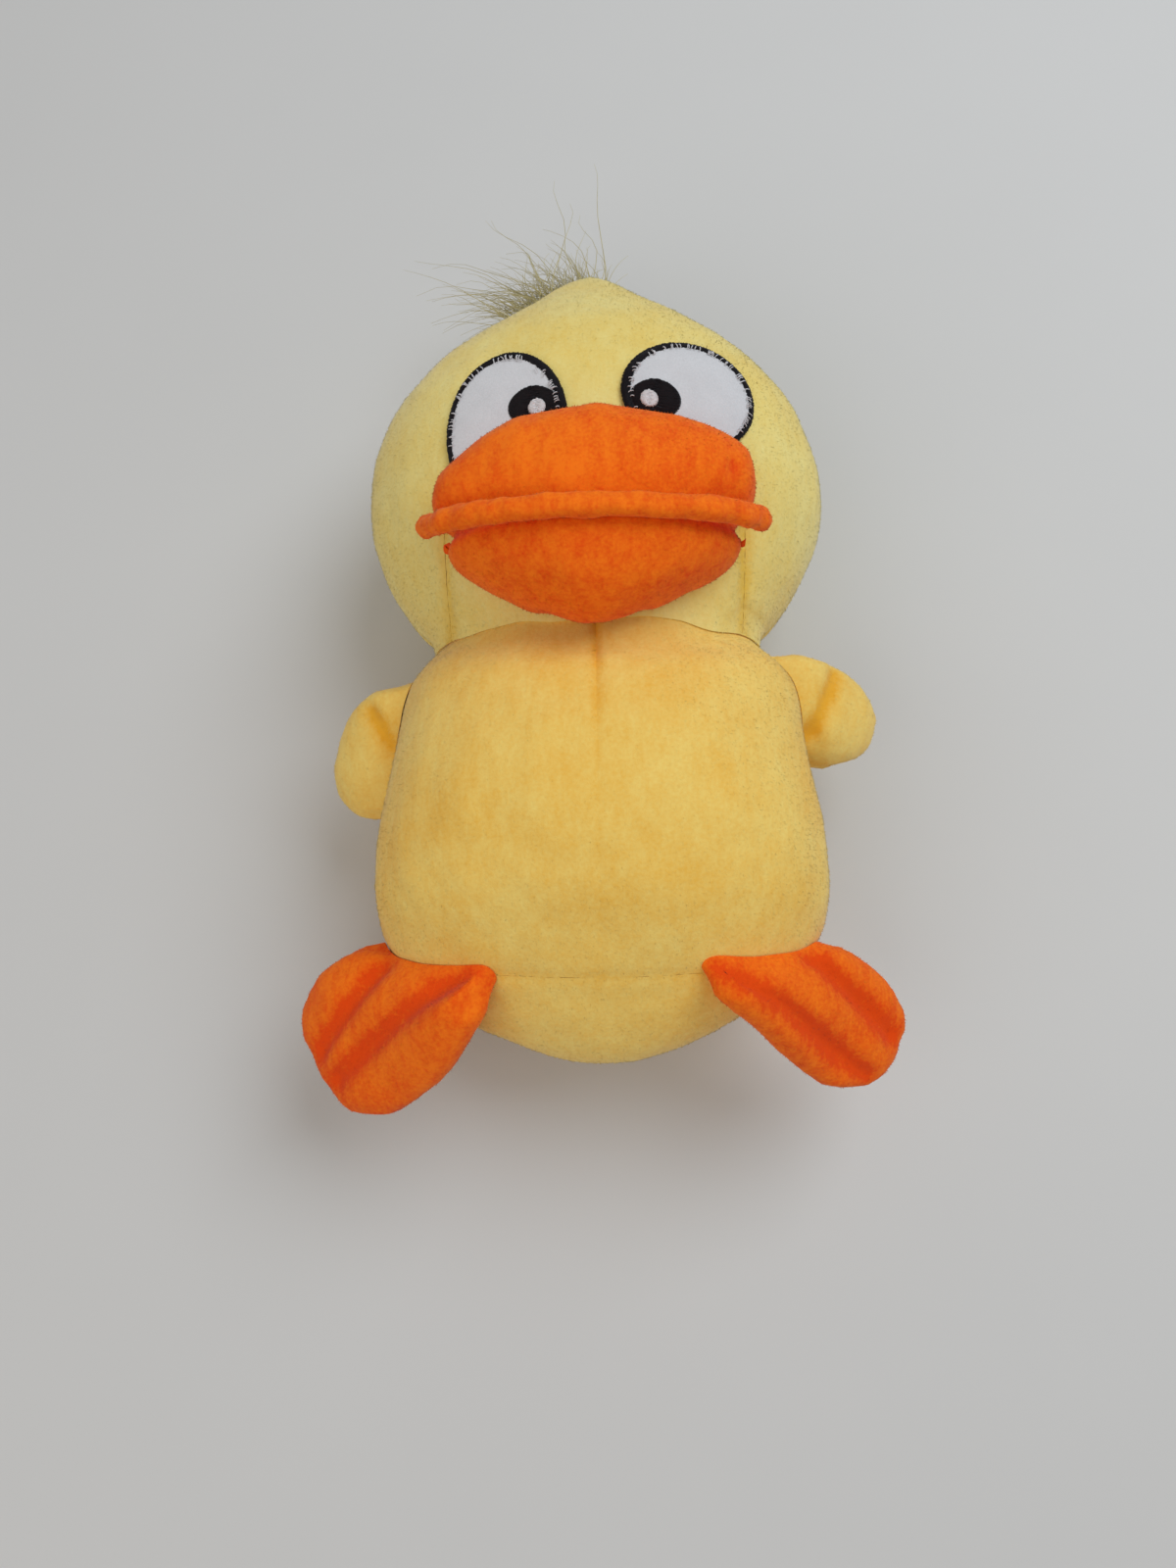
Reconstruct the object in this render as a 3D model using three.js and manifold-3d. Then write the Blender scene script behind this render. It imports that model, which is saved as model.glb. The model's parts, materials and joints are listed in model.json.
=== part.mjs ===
// Plush duck lying on its back: covers sewn from pile fabric over loose fibre filling.
// Millimetres. +Z points up out of the belly, +Y to the head and +X to the duck's own left hand.
// The origin is the middle of the flattened patch of the back that the toy lies on.

import * as THREE from "three";
import { mergeVertices } from "three/addons/utils/BufferGeometryUtils.js";
import Module from "manifold-3d";

const wasm = await Module();
wasm.setup();

// Cloth and clearances
const cloth = 2; // pile fabric with its pile
const seamGap = 0.3; // between pieces that are sewn or packed together
const neckGap = 0.4; // between the round top of the torso and the head that sits on it
const flatDepth = 0.5; // how deep the facets of the back are flattened where it lies
const finest = 0.02; // cut edges shorter than this are closed up
const crumb = 0.5; // bits of cloth smaller than this are cutting waste

// Torso
const torsoLength = 140;
const torsoBelow = 70; // how far the torso reaches below the origin, towards the feet
const torsoHalfWidth = 60;
const torsoBelly = 47; // middle of the torso to the front of the belly
const torsoBack = 44; // middle of the torso to the back
const torsoWidthShares = [0.8, 0.93, 1.18, 1.085, 0.95, 0.93, 0.95, 0.85, 0.7];
const torsoBellyShares = [0.6, 0.7, 0.82, 1, 1.01, 0.95, 0.9, 0.8, 0.6];
const torsoBackShares = [0.6, 0.85, 0.97, 1, 1, 1, 1, 0.9, 0.7];
const torsoSquareShare = 0.87;
const baseSeamBelow = 49; // where the base panel's seam crosses the front, below the origin
const baseSeamHeight = 70;
const baseSeamLean = THREE.MathUtils.degToRad(24); // the seam climbs towards the back
const sideSeamDrop = 3; // how far the side seams lie behind the middle of the torso

// Neck
const neckHalfWidth = 43; // round top of the torso, about the point that the head nods on
const neckRadius = 36.5;
const neckPivotAbove = 36; // that point, towards the head from the origin
const neckPivotHeight = 42;
const neckSeamAbove = 4; // from that point to the neck seam, along the neck
const neckTilt = THREE.MathUtils.degToRad(16.5); // the neck leans up out of the torso's line
const neckFillingGap = 1.8; // between that round top and the head's filling
const neckPlugRadius = 16;
const neckPlugBelow = 20; // from the nodding point to the plug's end in the torso
const neckPlugAbove = 46; // and to its end in the head
const nodRange = [-8, 6];
const turnRange = [-10, 10];

// Head
const headLength = 142;
const headStart = 12; // the lower end of the head's form, which the torso cuts away
const headHalfWidth = 64;
const headFace = 44; // middle of the head to the front of the face
const headBack = 43.5;
const headWidthShares = [0.8, 0.8, 0.82, 0.86, 0.87, 0.99, 1.01, 1, 0.94, 0.8, 0.6, 0.4, 0.3];
const headFaceShares = [0.9, 1, 1.1, 1.2, 1.08, 1.02, 1, 1, 0.98, 0.88, 0.72, 0.6, 0.5];
const headBackShares = [0.6, 0.7, 0.85, 0.93, 0.95, 0.98, 1, 1, 0.98, 0.88, 0.7, 0.5, 0.4];
const headSquareShare = 0.92;
const chinHalfWidth = 38;
const headSeamDrop = 2;

// Beak
const beakUpperHalfWidth = 40.5;
const beakUpperHalfHeight = 18.5;
const beakUpperReach = 23; // from the beak's middle plane to its front
const beakUpperAbove = 57; // from the head's lower end to the middle of the upper beak
const beakLowerHalfWidth = 38;
const beakLowerHalfHeight = 19.5;
const beakLowerReach = 21;
const beakLowerAbove = 43;
const beakPlaneHeight = 84;
const beakRoot = 14; // how far the beak's forms reach back into the head
const lipRadius = 3;
const lipAbove = 40.5; // front of the lip, from the head's lower end
const lipCornerAbove = 46;
const lipHalfWidth = 40.5;
const lipFrontHeight = 107.5;
const lipCornerHeight = 89;
const beakUpperShares = [1.8, 1.35, 1.05, 1, 1, 1, 1.05, 1.35, 1.8];
const beakLowerShares = [1, 1, 1, 1, 1];
const lipAcrossShares = [-1, -0.86, -0.5, 0, 0.5, 0.86, 1];
const lipForwardShares = [0, 0.45, 0.87, 1, 0.87, 0.45, 0];

// Eyes
const eyeHalfWidth = 15;
const eyeHalfHeight = 19;
const eyeApart = 22.8; // from the middle of the face to an eye's middle
const eyeAbove = 4; // from the top of the upper beak
const eyeLean = THREE.MathUtils.degToRad(14);
const eyeRim = 1.8; // width of the stitched rim
const eyeThick = 0.9;
const pupilHalfWidth = 6.3;
const pupilHalfHeight = 5.6;
const pupilApart = 14.5;
const pupilAbove = 4; // from the top of the upper beak
const glintHalfWidth = 2.1;
const glintHalfHeight = 2.3;
const glintInward = 1;
const glintAbove = 0.4; // from the middle of the pupil

// Tuft of long hair
const tuftLength = 52;
const tuftSpread = THREE.MathUtils.degToRad(34);
const tuftLean = THREE.MathUtils.degToRad(28);
const tuftLocks = 7;
const lockRadius = 2.8;
const lockRings = 4;
const lockSides = 5;
const tuftRootHalfWidth = 6;
const tuftRootRadius = 2.4;
const tuftRootSunk = 1.6; // how far the root is pressed into the head before it is cut clear
const tuftRootDrop = 2; // from the middle of the head's top, towards its back
const lockTipShare = 0.12;
const lockSagShare = 0.5;
const lockShorterShare = 0.3; // how much shorter the outermost locks are

// Wings, the same pieces on both sides but fallen differently
const wingReach = 34; // from the seam to the tip
const wingInnerLength = 22; // length of the wing's form that the torso cuts away
const wingHalfWidth = 16;
const wingHalfThick = 8;
const wingWidthShares = [1, 1, 1.02, 1.02, 1, 0.97, 0.95];
const wingThickShares = [0.75, 0.8, 0.88, 1, 1.05, 1, 0.9];
const wingSquareShare = 0.95;
const wingRoundShare = 0.75; // smaller is squarer seen from the front
const wingRootLowShare = 0.56; // ends of the wing's seam, along the torso
const wingRootHighShare = 0.78;
const wingRootAngle = THREE.MathUtils.degToRad(12);
const wingHang = 5; // from the hinge back to the middle of the wing's thickness
const wingRange = [-10, 50];
const leftWingDip = THREE.MathUtils.degToRad(34);
const leftWingDroop = THREE.MathUtils.degToRad(12);
const leftWingAbove = 1; // from the middle of the wing's seam, towards the head
const rightWingDip = THREE.MathUtils.degToRad(30);
const rightWingDroop = THREE.MathUtils.degToRad(52);
const rightWingAbove = -4;

// Feet
const footReach = 48; // from the seam to the tip
const footInnerLength = 25;
const footHalfWidth = 21;
const footHalfThick = 7.5;
const footWidthShares = [0.8, 0.84, 0.9, 0.96, 1, 1.02, 1];
const footThickShares = [0.8, 0.9, 1, 1.05, 1.05, 1, 0.9];
const footSquareShare = 0.9;
const footRoundShare = 0.56;
const footInward = 3; // from the middle of the seam to the middle of the foot
const footBelow = 2;
const footUprightShare = 0.8; // how far the foot's top turns to face straight up
const toeLineShare = 0.34; // where the stitched toe lines run, out of half the foot's width
const toeLineRadius = 1.5;
const toeLineOut = 0.5; // from the foot's surface to the middle of the groove
const toeLineAlongShares = [0.28, 0.44, 0.6, 0.77, 0.93];
const footRootInnerShare = 0.157;
const footRootOuterShare = 0.214;
const footRootInnerAngle = THREE.MathUtils.degToRad(63);
const footRootOuterAngle = THREE.MathUtils.degToRad(8);
const footRange = [-15, 15];
const footDroop = THREE.MathUtils.degToRad(26);
const leftFootSplay = THREE.MathUtils.degToRad(57);
const rightFootSplay = THREE.MathUtils.degToRad(58);

// Rolled seam edge of a wing or foot, held in a groove of the torso
const rollRadius = 1.4;
const rollOut = 0.4; // from the torso's surface to the middle of the roll
const rollShare = 0.2; // half the roll's length out of the whole seam

// How finely the forms are faceted
const outerSides = 18;
const torsoRings = 11;
const headRings = 13;
const beakSides = 16;
const beakRings = 9;
const innerSides = 10;
const innerRings = 7;
const limbSides = 14;
const limbRings = 7;
const limbInnerSides = 8;
const limbInnerRings = 5;
const neckTopSides = 18;
const plugSides = 8;
const rollSides = 8;
const grooveSides = 6;
const lipSteps = 10;
const eyeSides = 20;
const sweepSteps = 2;
const limbSweepSteps = 3;
const nodSweepSteps = 4;

const UP = new THREE.Vector3(0, 0, 1);
const ALONG_X = new THREE.Vector3(1, 0, 0);

// A smooth curve through shares that are spread evenly from 0 to 1.
function smoothCurve(shares) {
  const places = shares.map((_, i) => i / (shares.length - 1));
  const curve = new THREE.CubicInterpolant(places, shares, 1, new Float32Array(1));
  return (at) => curve.evaluate(at)[0];
}

// Cosine or sine drawn out towards a square, as packed filling draws a round cover.
function squared(value, share) {
  return Math.sign(value) * Math.abs(value) ** share;
}

// How far down the lowest facet of a form lies, out of its depth.
function lowestFacet(squareShare) {
  return squared(Math.cos(Math.PI / outerSides), squareShare);
}

// A stuffed form: rings about its own +Y axis that swell and taper, each wider than deep.
function stuffedForm(sizes) {
  const width = smoothCurve(sizes.widthShares);
  const front = smoothCurve(sizes.frontShares);
  const back = smoothCurve(sizes.backShares);
  const placement = sizes.placement ?? new THREE.Matrix4();
  const roundShare = sizes.roundShare ?? 1;

  function pointAt(alongShare, angle, inset = 0) {
    const turn = Math.PI * alongShare;
    const girth = squared(Math.sin(turn), roundShare);
    const across = squared(Math.cos(angle), sizes.squareShare);
    const outward = squared(Math.sin(angle), sizes.squareShare);
    const depth = outward > 0
      ? sizes.front * front(alongShare)
      : sizes.back * back(alongShare);
    return new THREE.Vector3(
      (sizes.halfWidth * width(alongShare) - inset) * girth * across,
      sizes.start + inset + ((sizes.length - 2 * inset) * (1 - Math.cos(turn))) / 2,
      sizes.centre + (depth - inset) * girth * outward,
    );
  }

  function solid(inset, sides, rings) {
    const points = [pointAt(0, 0, inset)];
    for (let ring = 1; ring < rings; ring++) {
      for (let side = 0; side < sides; side++) {
        points.push(pointAt(ring / rings, (2 * Math.PI * side) / sides, inset));
      }
    }
    points.push(pointAt(1, 0, inset));
    return solidFromRings(points, sides, rings).transform(placement.elements);
  }

  return {
    solid,
    // A point of the surface by its share of the form's length.
    surface(lengthShare, angle, inset = 0) {
      const alongShare = Math.acos(1 - 2 * lengthShare) / Math.PI;
      return pointAt(alongShare, angle, inset).applyMatrix4(placement);
    },
  };
}

// Joins a tip, rings of points and another tip into one closed solid.
function solidFromRings(points, sides, rings) {
  const index = [];
  const last = points.length - 1;
  const at = (ring, side) => 1 + (ring - 1) * sides + (side % sides);
  for (let side = 0; side < sides; side++) {
    index.push(0, at(1, side), at(1, side + 1));
    index.push(last, at(rings - 1, side + 1), at(rings - 1, side));
    for (let ring = 1; ring < rings - 1; ring++) {
      index.push(at(ring, side), at(ring + 1, side), at(ring + 1, side + 1));
      index.push(at(ring, side), at(ring + 1, side + 1), at(ring, side + 1));
    }
  }
  const geometry = new THREE.BufferGeometry().setFromPoints(points);
  geometry.setIndex(index);
  return solidFrom(geometry);
}

function solidFrom(geometry) {
  const bare = geometry.clone();
  bare.deleteAttribute("normal");
  bare.deleteAttribute("uv");
  const merged = mergeVertices(bare);
  return new wasm.Manifold(
    new wasm.Mesh({
      numProp: 3,
      vertProperties: merged.attributes.position.array,
      triVerts: new Uint32Array(merged.index.array),
    }),
  );
}

// Crumbs that a grazing cut leaves beside a piece are swept away.
function pieceFrom(solid, name, material) {
  const bodies = solid.simplify(finest).decompose();
  const kept = bodies.filter((body) => body.volume() > crumb ** 3);
  const { vertProperties, triVerts } = wasm.Manifold.compose(kept).getMesh();
  const geometry = new THREE.BufferGeometry();
  geometry.setAttribute("position", new THREE.BufferAttribute(vertProperties, 3));
  geometry.setIndex(new THREE.BufferAttribute(triVerts, 1));
  const mesh = new THREE.Mesh(geometry, material);
  mesh.name = name;
  return mesh;
}

function union(solids) {
  return solids.reduce((joined, solid) => joined.add(solid));
}

// Keeps what lies beyond a plane square to one axis, on its + or - side.
function keepSide(solid, axis, side, at) {
  const normal = [0, 0, 0];
  normal[axis] = side;
  return solid.trimByPlane(normal, side * at);
}

// The round top of the torso: a ball about the nodding point that is wider than deep.
function neckTop(extra, room = 1) {
  const geometry = new THREE.SphereGeometry(1, neckTopSides, neckTopSides / 2);
  const depth = room * (neckRadius + extra);
  geometry.scale(room * (neckHalfWidth + extra), depth, depth);
  return solidFrom(geometry.applyMatrix4(turnedTo(neckAxis, neckPivot)));
}

// How much wider a faceted hollow is made so that the edges of what it holds turn past its flats.
function roomToTurn(sides) {
  return 1 / Math.cos(Math.PI / sides);
}

// A round bar between two points.
function bar(from, to, radius, sides) {
  const along = to.clone().sub(from);
  const geometry = new THREE.CylinderGeometry(radius, radius, along.length(), sides);
  const middle = from.clone().add(to).multiplyScalar(0.5);
  return solidFrom(geometry.applyMatrix4(turnedTo(along.normalize(), middle)));
}

// A round tube along a curve. An arc is divided into twice the segments that are asked for.
function tube(line, radius, sides, steps) {
  const section = new THREE.Shape().absarc(0, 0, radius, 0, 2 * Math.PI);
  return solidFrom(
    new THREE.ExtrudeGeometry(section, {
      steps,
      curveSegments: sides / 2,
      extrudePath: line,
      bevelEnabled: false,
    }),
  );
}

// Turns +Y to a direction and moves the origin to a place.
function turnedTo(direction, place) {
  const turn = new THREE.Quaternion().setFromUnitVectors(new THREE.Vector3(0, 1, 0), direction);
  return new THREE.Matrix4().makeRotationFromQuaternion(turn).setPosition(place);
}

// A frame whose +Y runs along a direction and whose +Z faces as nearly as it can towards another.
function framedAt(along, facing, place) {
  const y = along.clone().normalize();
  const x = new THREE.Vector3().crossVectors(y, facing).normalize();
  const z = new THREE.Vector3().crossVectors(x, y);
  return new THREE.Matrix4().makeBasis(x, y, z).setPosition(place);
}

// A turn of some degrees about an axis through a place.
function turnAbout(place, axis, degrees) {
  const turn = new THREE.Matrix4().makeRotationAxis(axis, THREE.MathUtils.degToRad(degrees));
  const to = new THREE.Matrix4().makeTranslation(place);
  const from = new THREE.Matrix4().makeTranslation(place.clone().negate());
  return to.multiply(turn).multiply(from);
}

// What a moving piece has to stay out of: the fixed solid, seen from the piece through its travel.
function sweptBy(solid, turnsBack) {
  return union(turnsBack.map((turn) => solid.transform(turn.elements)));
}

function stepsOf([low, high], steps = sweepSteps) {
  const spread = Array.from({ length: steps + 1 }, (_, i) => low + ((high - low) * i) / steps);
  return [...new Set([...spread, 0])];
}

// Torso
const torsoMiddle = torsoBack * lowestFacet(torsoSquareShare) - flatDepth;
const torsoForm = stuffedForm({
  length: torsoLength,
  start: -torsoBelow,
  halfWidth: torsoHalfWidth,
  front: torsoBelly,
  back: torsoBack,
  centre: torsoMiddle,
  widthShares: torsoWidthShares,
  frontShares: torsoBellyShares,
  backShares: torsoBackShares,
  squareShare: torsoSquareShare,
});
const neckPivot = new THREE.Vector3(0, neckPivotAbove, neckPivotHeight);
const neckAxis = new THREE.Vector3(0, Math.cos(neckTilt), Math.sin(neckTilt));
const neckSeam = neckAxis.dot(neckPivot) + neckSeamAbove;

// The torso's form below the neck seam, and its round top beyond it.
function torsoSolid(inset, sides, rings) {
  const form = torsoForm.solid(inset, sides, rings);
  const top = neckTop(-inset);
  const below = form.trimByPlane(neckAxis.clone().negate().toArray(), inset - neckSeam);
  const beyond = top.trimByPlane(neckAxis.toArray(), neckSeam + inset);
  const whole = union([below, beyond, form.intersect(top)]);
  return keepSide(whole, 2, 1, Math.max(inset, 0));
}

const torsoOuter = torsoSolid(0, outerSides, torsoRings);
const torsoInner = torsoSolid(cloth, innerSides, innerRings);
const torsoCore = torsoSolid(cloth + seamGap, innerSides, innerRings);
const torsoKeepOut = torsoForm.solid(-seamGap, outerSides, torsoRings);
const torsoKeepOutLined = torsoForm.solid(-seamGap - cloth, outerSides, torsoRings);
const torsoKeepOutFilled = torsoForm.solid(-2 * seamGap - cloth, outerSides, torsoRings);

// Limbs: a wing or a foot is a flat stuffed form, sewn into the torso along a rolled edge.
function limb({ form, hinge, range }) {
  const turns = stepsOf(range, limbSweepSteps).map((degrees) =>
    turnAbout(hinge.place, hinge.axis, -degrees),
  );
  const outer = form.solid(0, limbSides, limbRings).subtract(sweptBy(torsoKeepOut, turns));
  const inner = form
    .solid(cloth, limbInnerSides, limbInnerRings)
    .subtract(sweptBy(torsoKeepOutLined, turns));
  const core = form
    .solid(cloth + seamGap, limbInnerSides, limbInnerRings)
    .subtract(sweptBy(torsoKeepOutFilled, turns));
  const roll = bar(hinge.from, hinge.to, rollRadius, rollSides);
  return { cover: outer.add(roll).subtract(inner), core };
}

function grooveFor({ from, to, axis }) {
  const overrun = axis.clone().multiplyScalar(seamGap);
  return bar(from.clone().sub(overrun), to.clone().add(overrun), rollRadius + seamGap, rollSides);
}

// A limb's hinge along its seam, from one end [length share, angle] to the other.
// side is 1 on the duck's left and -1 on its right, where the hinge runs the other way.
function seamHinge(side, start, end) {
  const middle = [(start[0] + end[0]) / 2, (start[1] + end[1]) / 2];
  const [from, to] = [start, end].map((at) => torsoForm.surface(...at));
  const chord = from.clone().add(to).multiplyScalar(0.5);
  const seam = to.sub(from);
  const half = seam.length() * rollShare;
  const place = torsoForm.surface(...middle, -rollOut);
  const axis = seam.normalize();
  if (side < 0) {
    place.x = -place.x;
    chord.x = -chord.x;
    axis.set(axis.x, -axis.y, -axis.z);
  }
  return {
    axis,
    place,
    chord,
    from: place.clone().addScaledVector(axis, -half),
    to: place.clone().addScaledVector(axis, half),
  };
}

function wing(side, { dip, droop, above }) {
  const high = [wingRootHighShare, wingRootAngle];
  const low = [wingRootLowShare, wingRootAngle];
  const hinge = seamHinge(side, high, low);
  const along = new THREE.Vector3(
    side * Math.cos(droop) * Math.cos(dip),
    -Math.sin(droop) * Math.cos(dip),
    -Math.sin(dip),
  );
  const facing = facingOf(along, UP);
  const place = hinge.place.clone().addScaledVector(along, -wingInnerLength);
  place.addScaledVector(facing, -wingHang);
  place.y += above;
  const form = stuffedForm({
    length: wingInnerLength + wingReach,
    start: 0,
    halfWidth: wingHalfWidth,
    front: wingHalfThick,
    back: wingHalfThick,
    centre: 0,
    widthShares: wingWidthShares,
    frontShares: wingThickShares,
    backShares: wingThickShares,
    squareShare: wingSquareShare,
    roundShare: wingRoundShare,
    placement: framedAt(along, UP, place),
  });
  return { hinge, facing, place, ...limb({ form, hinge, range: wingRange }) };
}

function foot(side, splay) {
  const outer = [footRootOuterShare, footRootOuterAngle];
  const inner = [footRootInnerShare, footRootInnerAngle];
  const hinge = seamHinge(side, outer, inner);
  const along = new THREE.Vector3(
    side * Math.sin(splay) * Math.cos(footDroop),
    -Math.cos(splay) * Math.cos(footDroop),
    -Math.sin(footDroop),
  );
  const square = facingOf(along, new THREE.Vector3().crossVectors(hinge.axis, along));
  const facing = facingOf(along, square.lerp(UP, footUprightShare));
  const place = hinge.chord.clone().addScaledVector(along, -footInnerLength);
  place.x -= side * footInward;
  place.y -= footBelow;
  const form = stuffedForm({
    length: footInnerLength + footReach,
    start: 0,
    halfWidth: footHalfWidth,
    front: footHalfThick,
    back: footHalfThick,
    centre: 0,
    widthShares: footWidthShares,
    frontShares: footThickShares,
    backShares: footThickShares,
    squareShare: footSquareShare,
    roundShare: footRoundShare,
    placement: framedAt(along, facing, place),
  });
  const { cover, core } = limb({ form, hinge, range: footRange });
  const lines = [toeLineShare, -toeLineShare].map((across) => toeLine(form, across));
  return { hinge, facing, place, cover: cover.subtract(union(lines)), core };
}

// The groove that stitching through the foot draws in along a toe line.
function toeLine(form, across) {
  const angle = Math.acos(squared(across, 1 / footSquareShare));
  const places = toeLineAlongShares.map((along) => form.surface(along, angle, -toeLineOut));
  const line = new THREE.CatmullRomCurve3(places);
  return tube(line, toeLineRadius, grooveSides, places.length - 1);
}

// The direction square to a limb's length that its upper cover faces.
function facingOf(along, towards) {
  const facing = towards.clone().addScaledVector(along, -towards.dot(along)).normalize();
  return facing.z < 0 ? facing.negate() : facing;
}

const leftWing = wing(1, { dip: leftWingDip, droop: leftWingDroop, above: leftWingAbove });
const rightWing = wing(-1, { dip: rightWingDip, droop: rightWingDroop, above: rightWingAbove });
const leftFoot = foot(1, leftFootSplay);
const rightFoot = foot(-1, rightFootSplay);
const limbs = [leftWing, rightWing, leftFoot, rightFoot];
const grooves = union(limbs.map(({ hinge }) => grooveFor(hinge)));

// Neck plug, a round bar of firm filling that runs from the torso into the head
function alongNeck(distance) {
  return neckPivot.clone().addScaledVector(neckAxis, distance);
}
const neckPlug = bar(alongNeck(-neckPlugBelow), alongNeck(neckPlugAbove), neckPlugRadius, plugSides);
const plugPocket = bar(
  alongNeck(-neckPlugBelow - neckGap),
  alongNeck(neckPlugAbove + neckGap),
  (neckPlugRadius + neckGap) * roomToTurn(plugSides),
  plugSides,
);
const headTurns = stepsOf(nodRange, nodSweepSteps).map((nod) =>
  turnAbout(neckPivot, ALONG_X, -nod),
);
const neckTurns = stepsOf(turnRange).map((turn) => turnAbout(neckPivot, neckAxis, -turn));
const plugRoomInHead = sweptBy(plugPocket, headTurns);

const torsoCover = torsoOuter.subtract(torsoInner).subtract(plugPocket).subtract(grooves);
const torsoFilling = torsoCore.subtract(plugPocket);

// Head
const headMiddle = headBack * lowestFacet(headSquareShare) - flatDepth;
const headForm = stuffedForm({
  length: headLength,
  start: headStart,
  halfWidth: headHalfWidth,
  front: headFace,
  back: headBack,
  centre: headMiddle,
  widthShares: headWidthShares,
  frontShares: headFaceShares,
  backShares: headBackShares,
  squareShare: headSquareShare,
});

// A solid of the head, cut clear of the torso at every nod and turn.
const neckRoom = roomToTurn(neckTopSides);
const neckSweep = sweptBy(neckTop(neckGap, neckRoom), neckTurns);
function clearOfTorso(solid, top) {
  return headTurns.reduce((head, turn) => {
    const axis = neckAxis.clone().transformDirection(turn);
    return head.trimByPlane(axis.toArray(), axis.dot(neckPivot) + neckSeamAbove + neckGap);
  }, solid.subtract(top));
}

const headOuter = keepSide(headForm.solid(0, outerSides, headRings), 2, 1, 0);
const headInner = keepSide(headForm.solid(cloth, innerSides, innerRings), 2, 1, cloth);
const headCore = keepSide(
  headForm.solid(cloth + seamGap, innerSides, innerRings), 2, 1, cloth + seamGap,
);
const headCover = clearOfTorso(headOuter.subtract(headInner), neckSweep);
const headFilling = clearOfTorso(headCore, neckTop(neckFillingGap, neckRoom)).subtract(plugRoomInHead);

// Beak: two stuffed halves that meet at a rolled lip.
function beakForm({ halfWidth, halfHeight, reach, above, shares }) {
  return stuffedForm({
    length: 2 * halfWidth,
    start: -halfWidth,
    halfWidth: halfHeight,
    front: reach,
    back: beakRoot,
    centre: 0,
    widthShares: shares,
    frontShares: shares,
    backShares: shares,
    squareShare: headSquareShare,
    placement: framedAt(ALONG_X, UP, new THREE.Vector3(0, headStart + above, beakPlaneHeight)),
  });
}
const upperForm = beakForm({
  halfWidth: beakUpperHalfWidth,
  halfHeight: beakUpperHalfHeight,
  reach: beakUpperReach,
  above: beakUpperAbove,
  shares: beakUpperShares,
});
const lowerForm = beakForm({
  halfWidth: beakLowerHalfWidth,
  halfHeight: beakLowerHalfHeight,
  reach: beakLowerReach,
  above: beakLowerAbove,
  shares: beakLowerShares,
});

// The lip's line from corner to corner; each place is a share of the corner's distance.
function lipLine() {
  const places = lipAcrossShares.map((across, i) => new THREE.Vector3(
    across * lipHalfWidth,
    headStart + THREE.MathUtils.lerp(lipCornerAbove, lipAbove, lipForwardShares[i]),
    THREE.MathUtils.lerp(lipCornerHeight, lipFrontHeight, lipForwardShares[i]),
  ));
  return new THREE.CatmullRomCurve3(places);
}

function lipSolid(radius) {
  const line = lipLine();
  const knobs = [line.getPoint(0), line.getPoint(1)].map((place) => {
    const knob = new THREE.SphereGeometry(radius, rollSides, rollSides / 2);
    return solidFrom(knob.translate(place.x, place.y, place.z));
  });
  return union([tube(line, radius, rollSides, lipSteps), ...knobs]);
}

const faceKeepOut = headForm.solid(-seamGap, outerSides, headRings);
const faceKeepOutFilled = headForm.solid(-2 * seamGap, outerSides, headRings);
const lip = lipSolid(lipRadius).subtract(faceKeepOut);
const lipKeepOut = lipSolid(lipRadius + seamGap);
const beakSplit = headStart + THREE.MathUtils.lerp(lipCornerAbove, lipAbove, 0.5);

function beakSolid(inset, sides, rings) {
  const upper = keepSide(upperForm.solid(inset, sides, rings), 1, 1, beakSplit);
  const lower = keepSide(lowerForm.solid(inset, sides, rings), 1, -1, beakSplit);
  return { upper, lower, both: upper.add(lower) };
}

const beakOuter = beakSolid(0, beakSides, beakRings);
const beakInner = beakSolid(cloth, innerSides, innerRings).both;
const beakFilling = beakSolid(cloth + seamGap, innerSides, innerRings)
  .both.subtract(faceKeepOutFilled)
  .subtract(lipKeepOut);

function beakCover(half, side) {
  const cover = half.subtract(beakInner).subtract(faceKeepOut).subtract(lipKeepOut);
  return keepSide(cover, 1, side, beakSplit + (side * seamGap) / 2);
}

const beakKeepOut = beakSolid(-seamGap, beakSides, beakRings).both.add(lipKeepOut);

// Eyes: layers of felt and stitching on the face, cut to ovals seen from the front.
function faceLayer(low, high) {
  return headForm
    .solid(-high, outerSides, headRings)
    .subtract(headForm.solid(-low, outerSides, headRings));
}

const beakTop = headStart + beakUpperAbove + beakUpperHalfHeight;

function ovalBar(side, halfWidth, halfHeight, apart, above) {
  const geometry = new THREE.CylinderGeometry(1, 1, beakPlaneHeight, eyeSides);
  geometry.rotateX(Math.PI / 2);
  geometry.scale(halfWidth, halfHeight, 1);
  geometry.rotateZ(side * eyeLean);
  geometry.translate(side * apart, beakTop + above, beakPlaneHeight);
  return solidFrom(geometry);
}

const feltLayer = faceLayer(seamGap, seamGap + eyeThick);
const pupilLayer = faceLayer(2 * seamGap + eyeThick, 2 * (seamGap + eyeThick));
const glintLayer = faceLayer(3 * seamGap + 2 * eyeThick, 3 * (seamGap + eyeThick));

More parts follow.
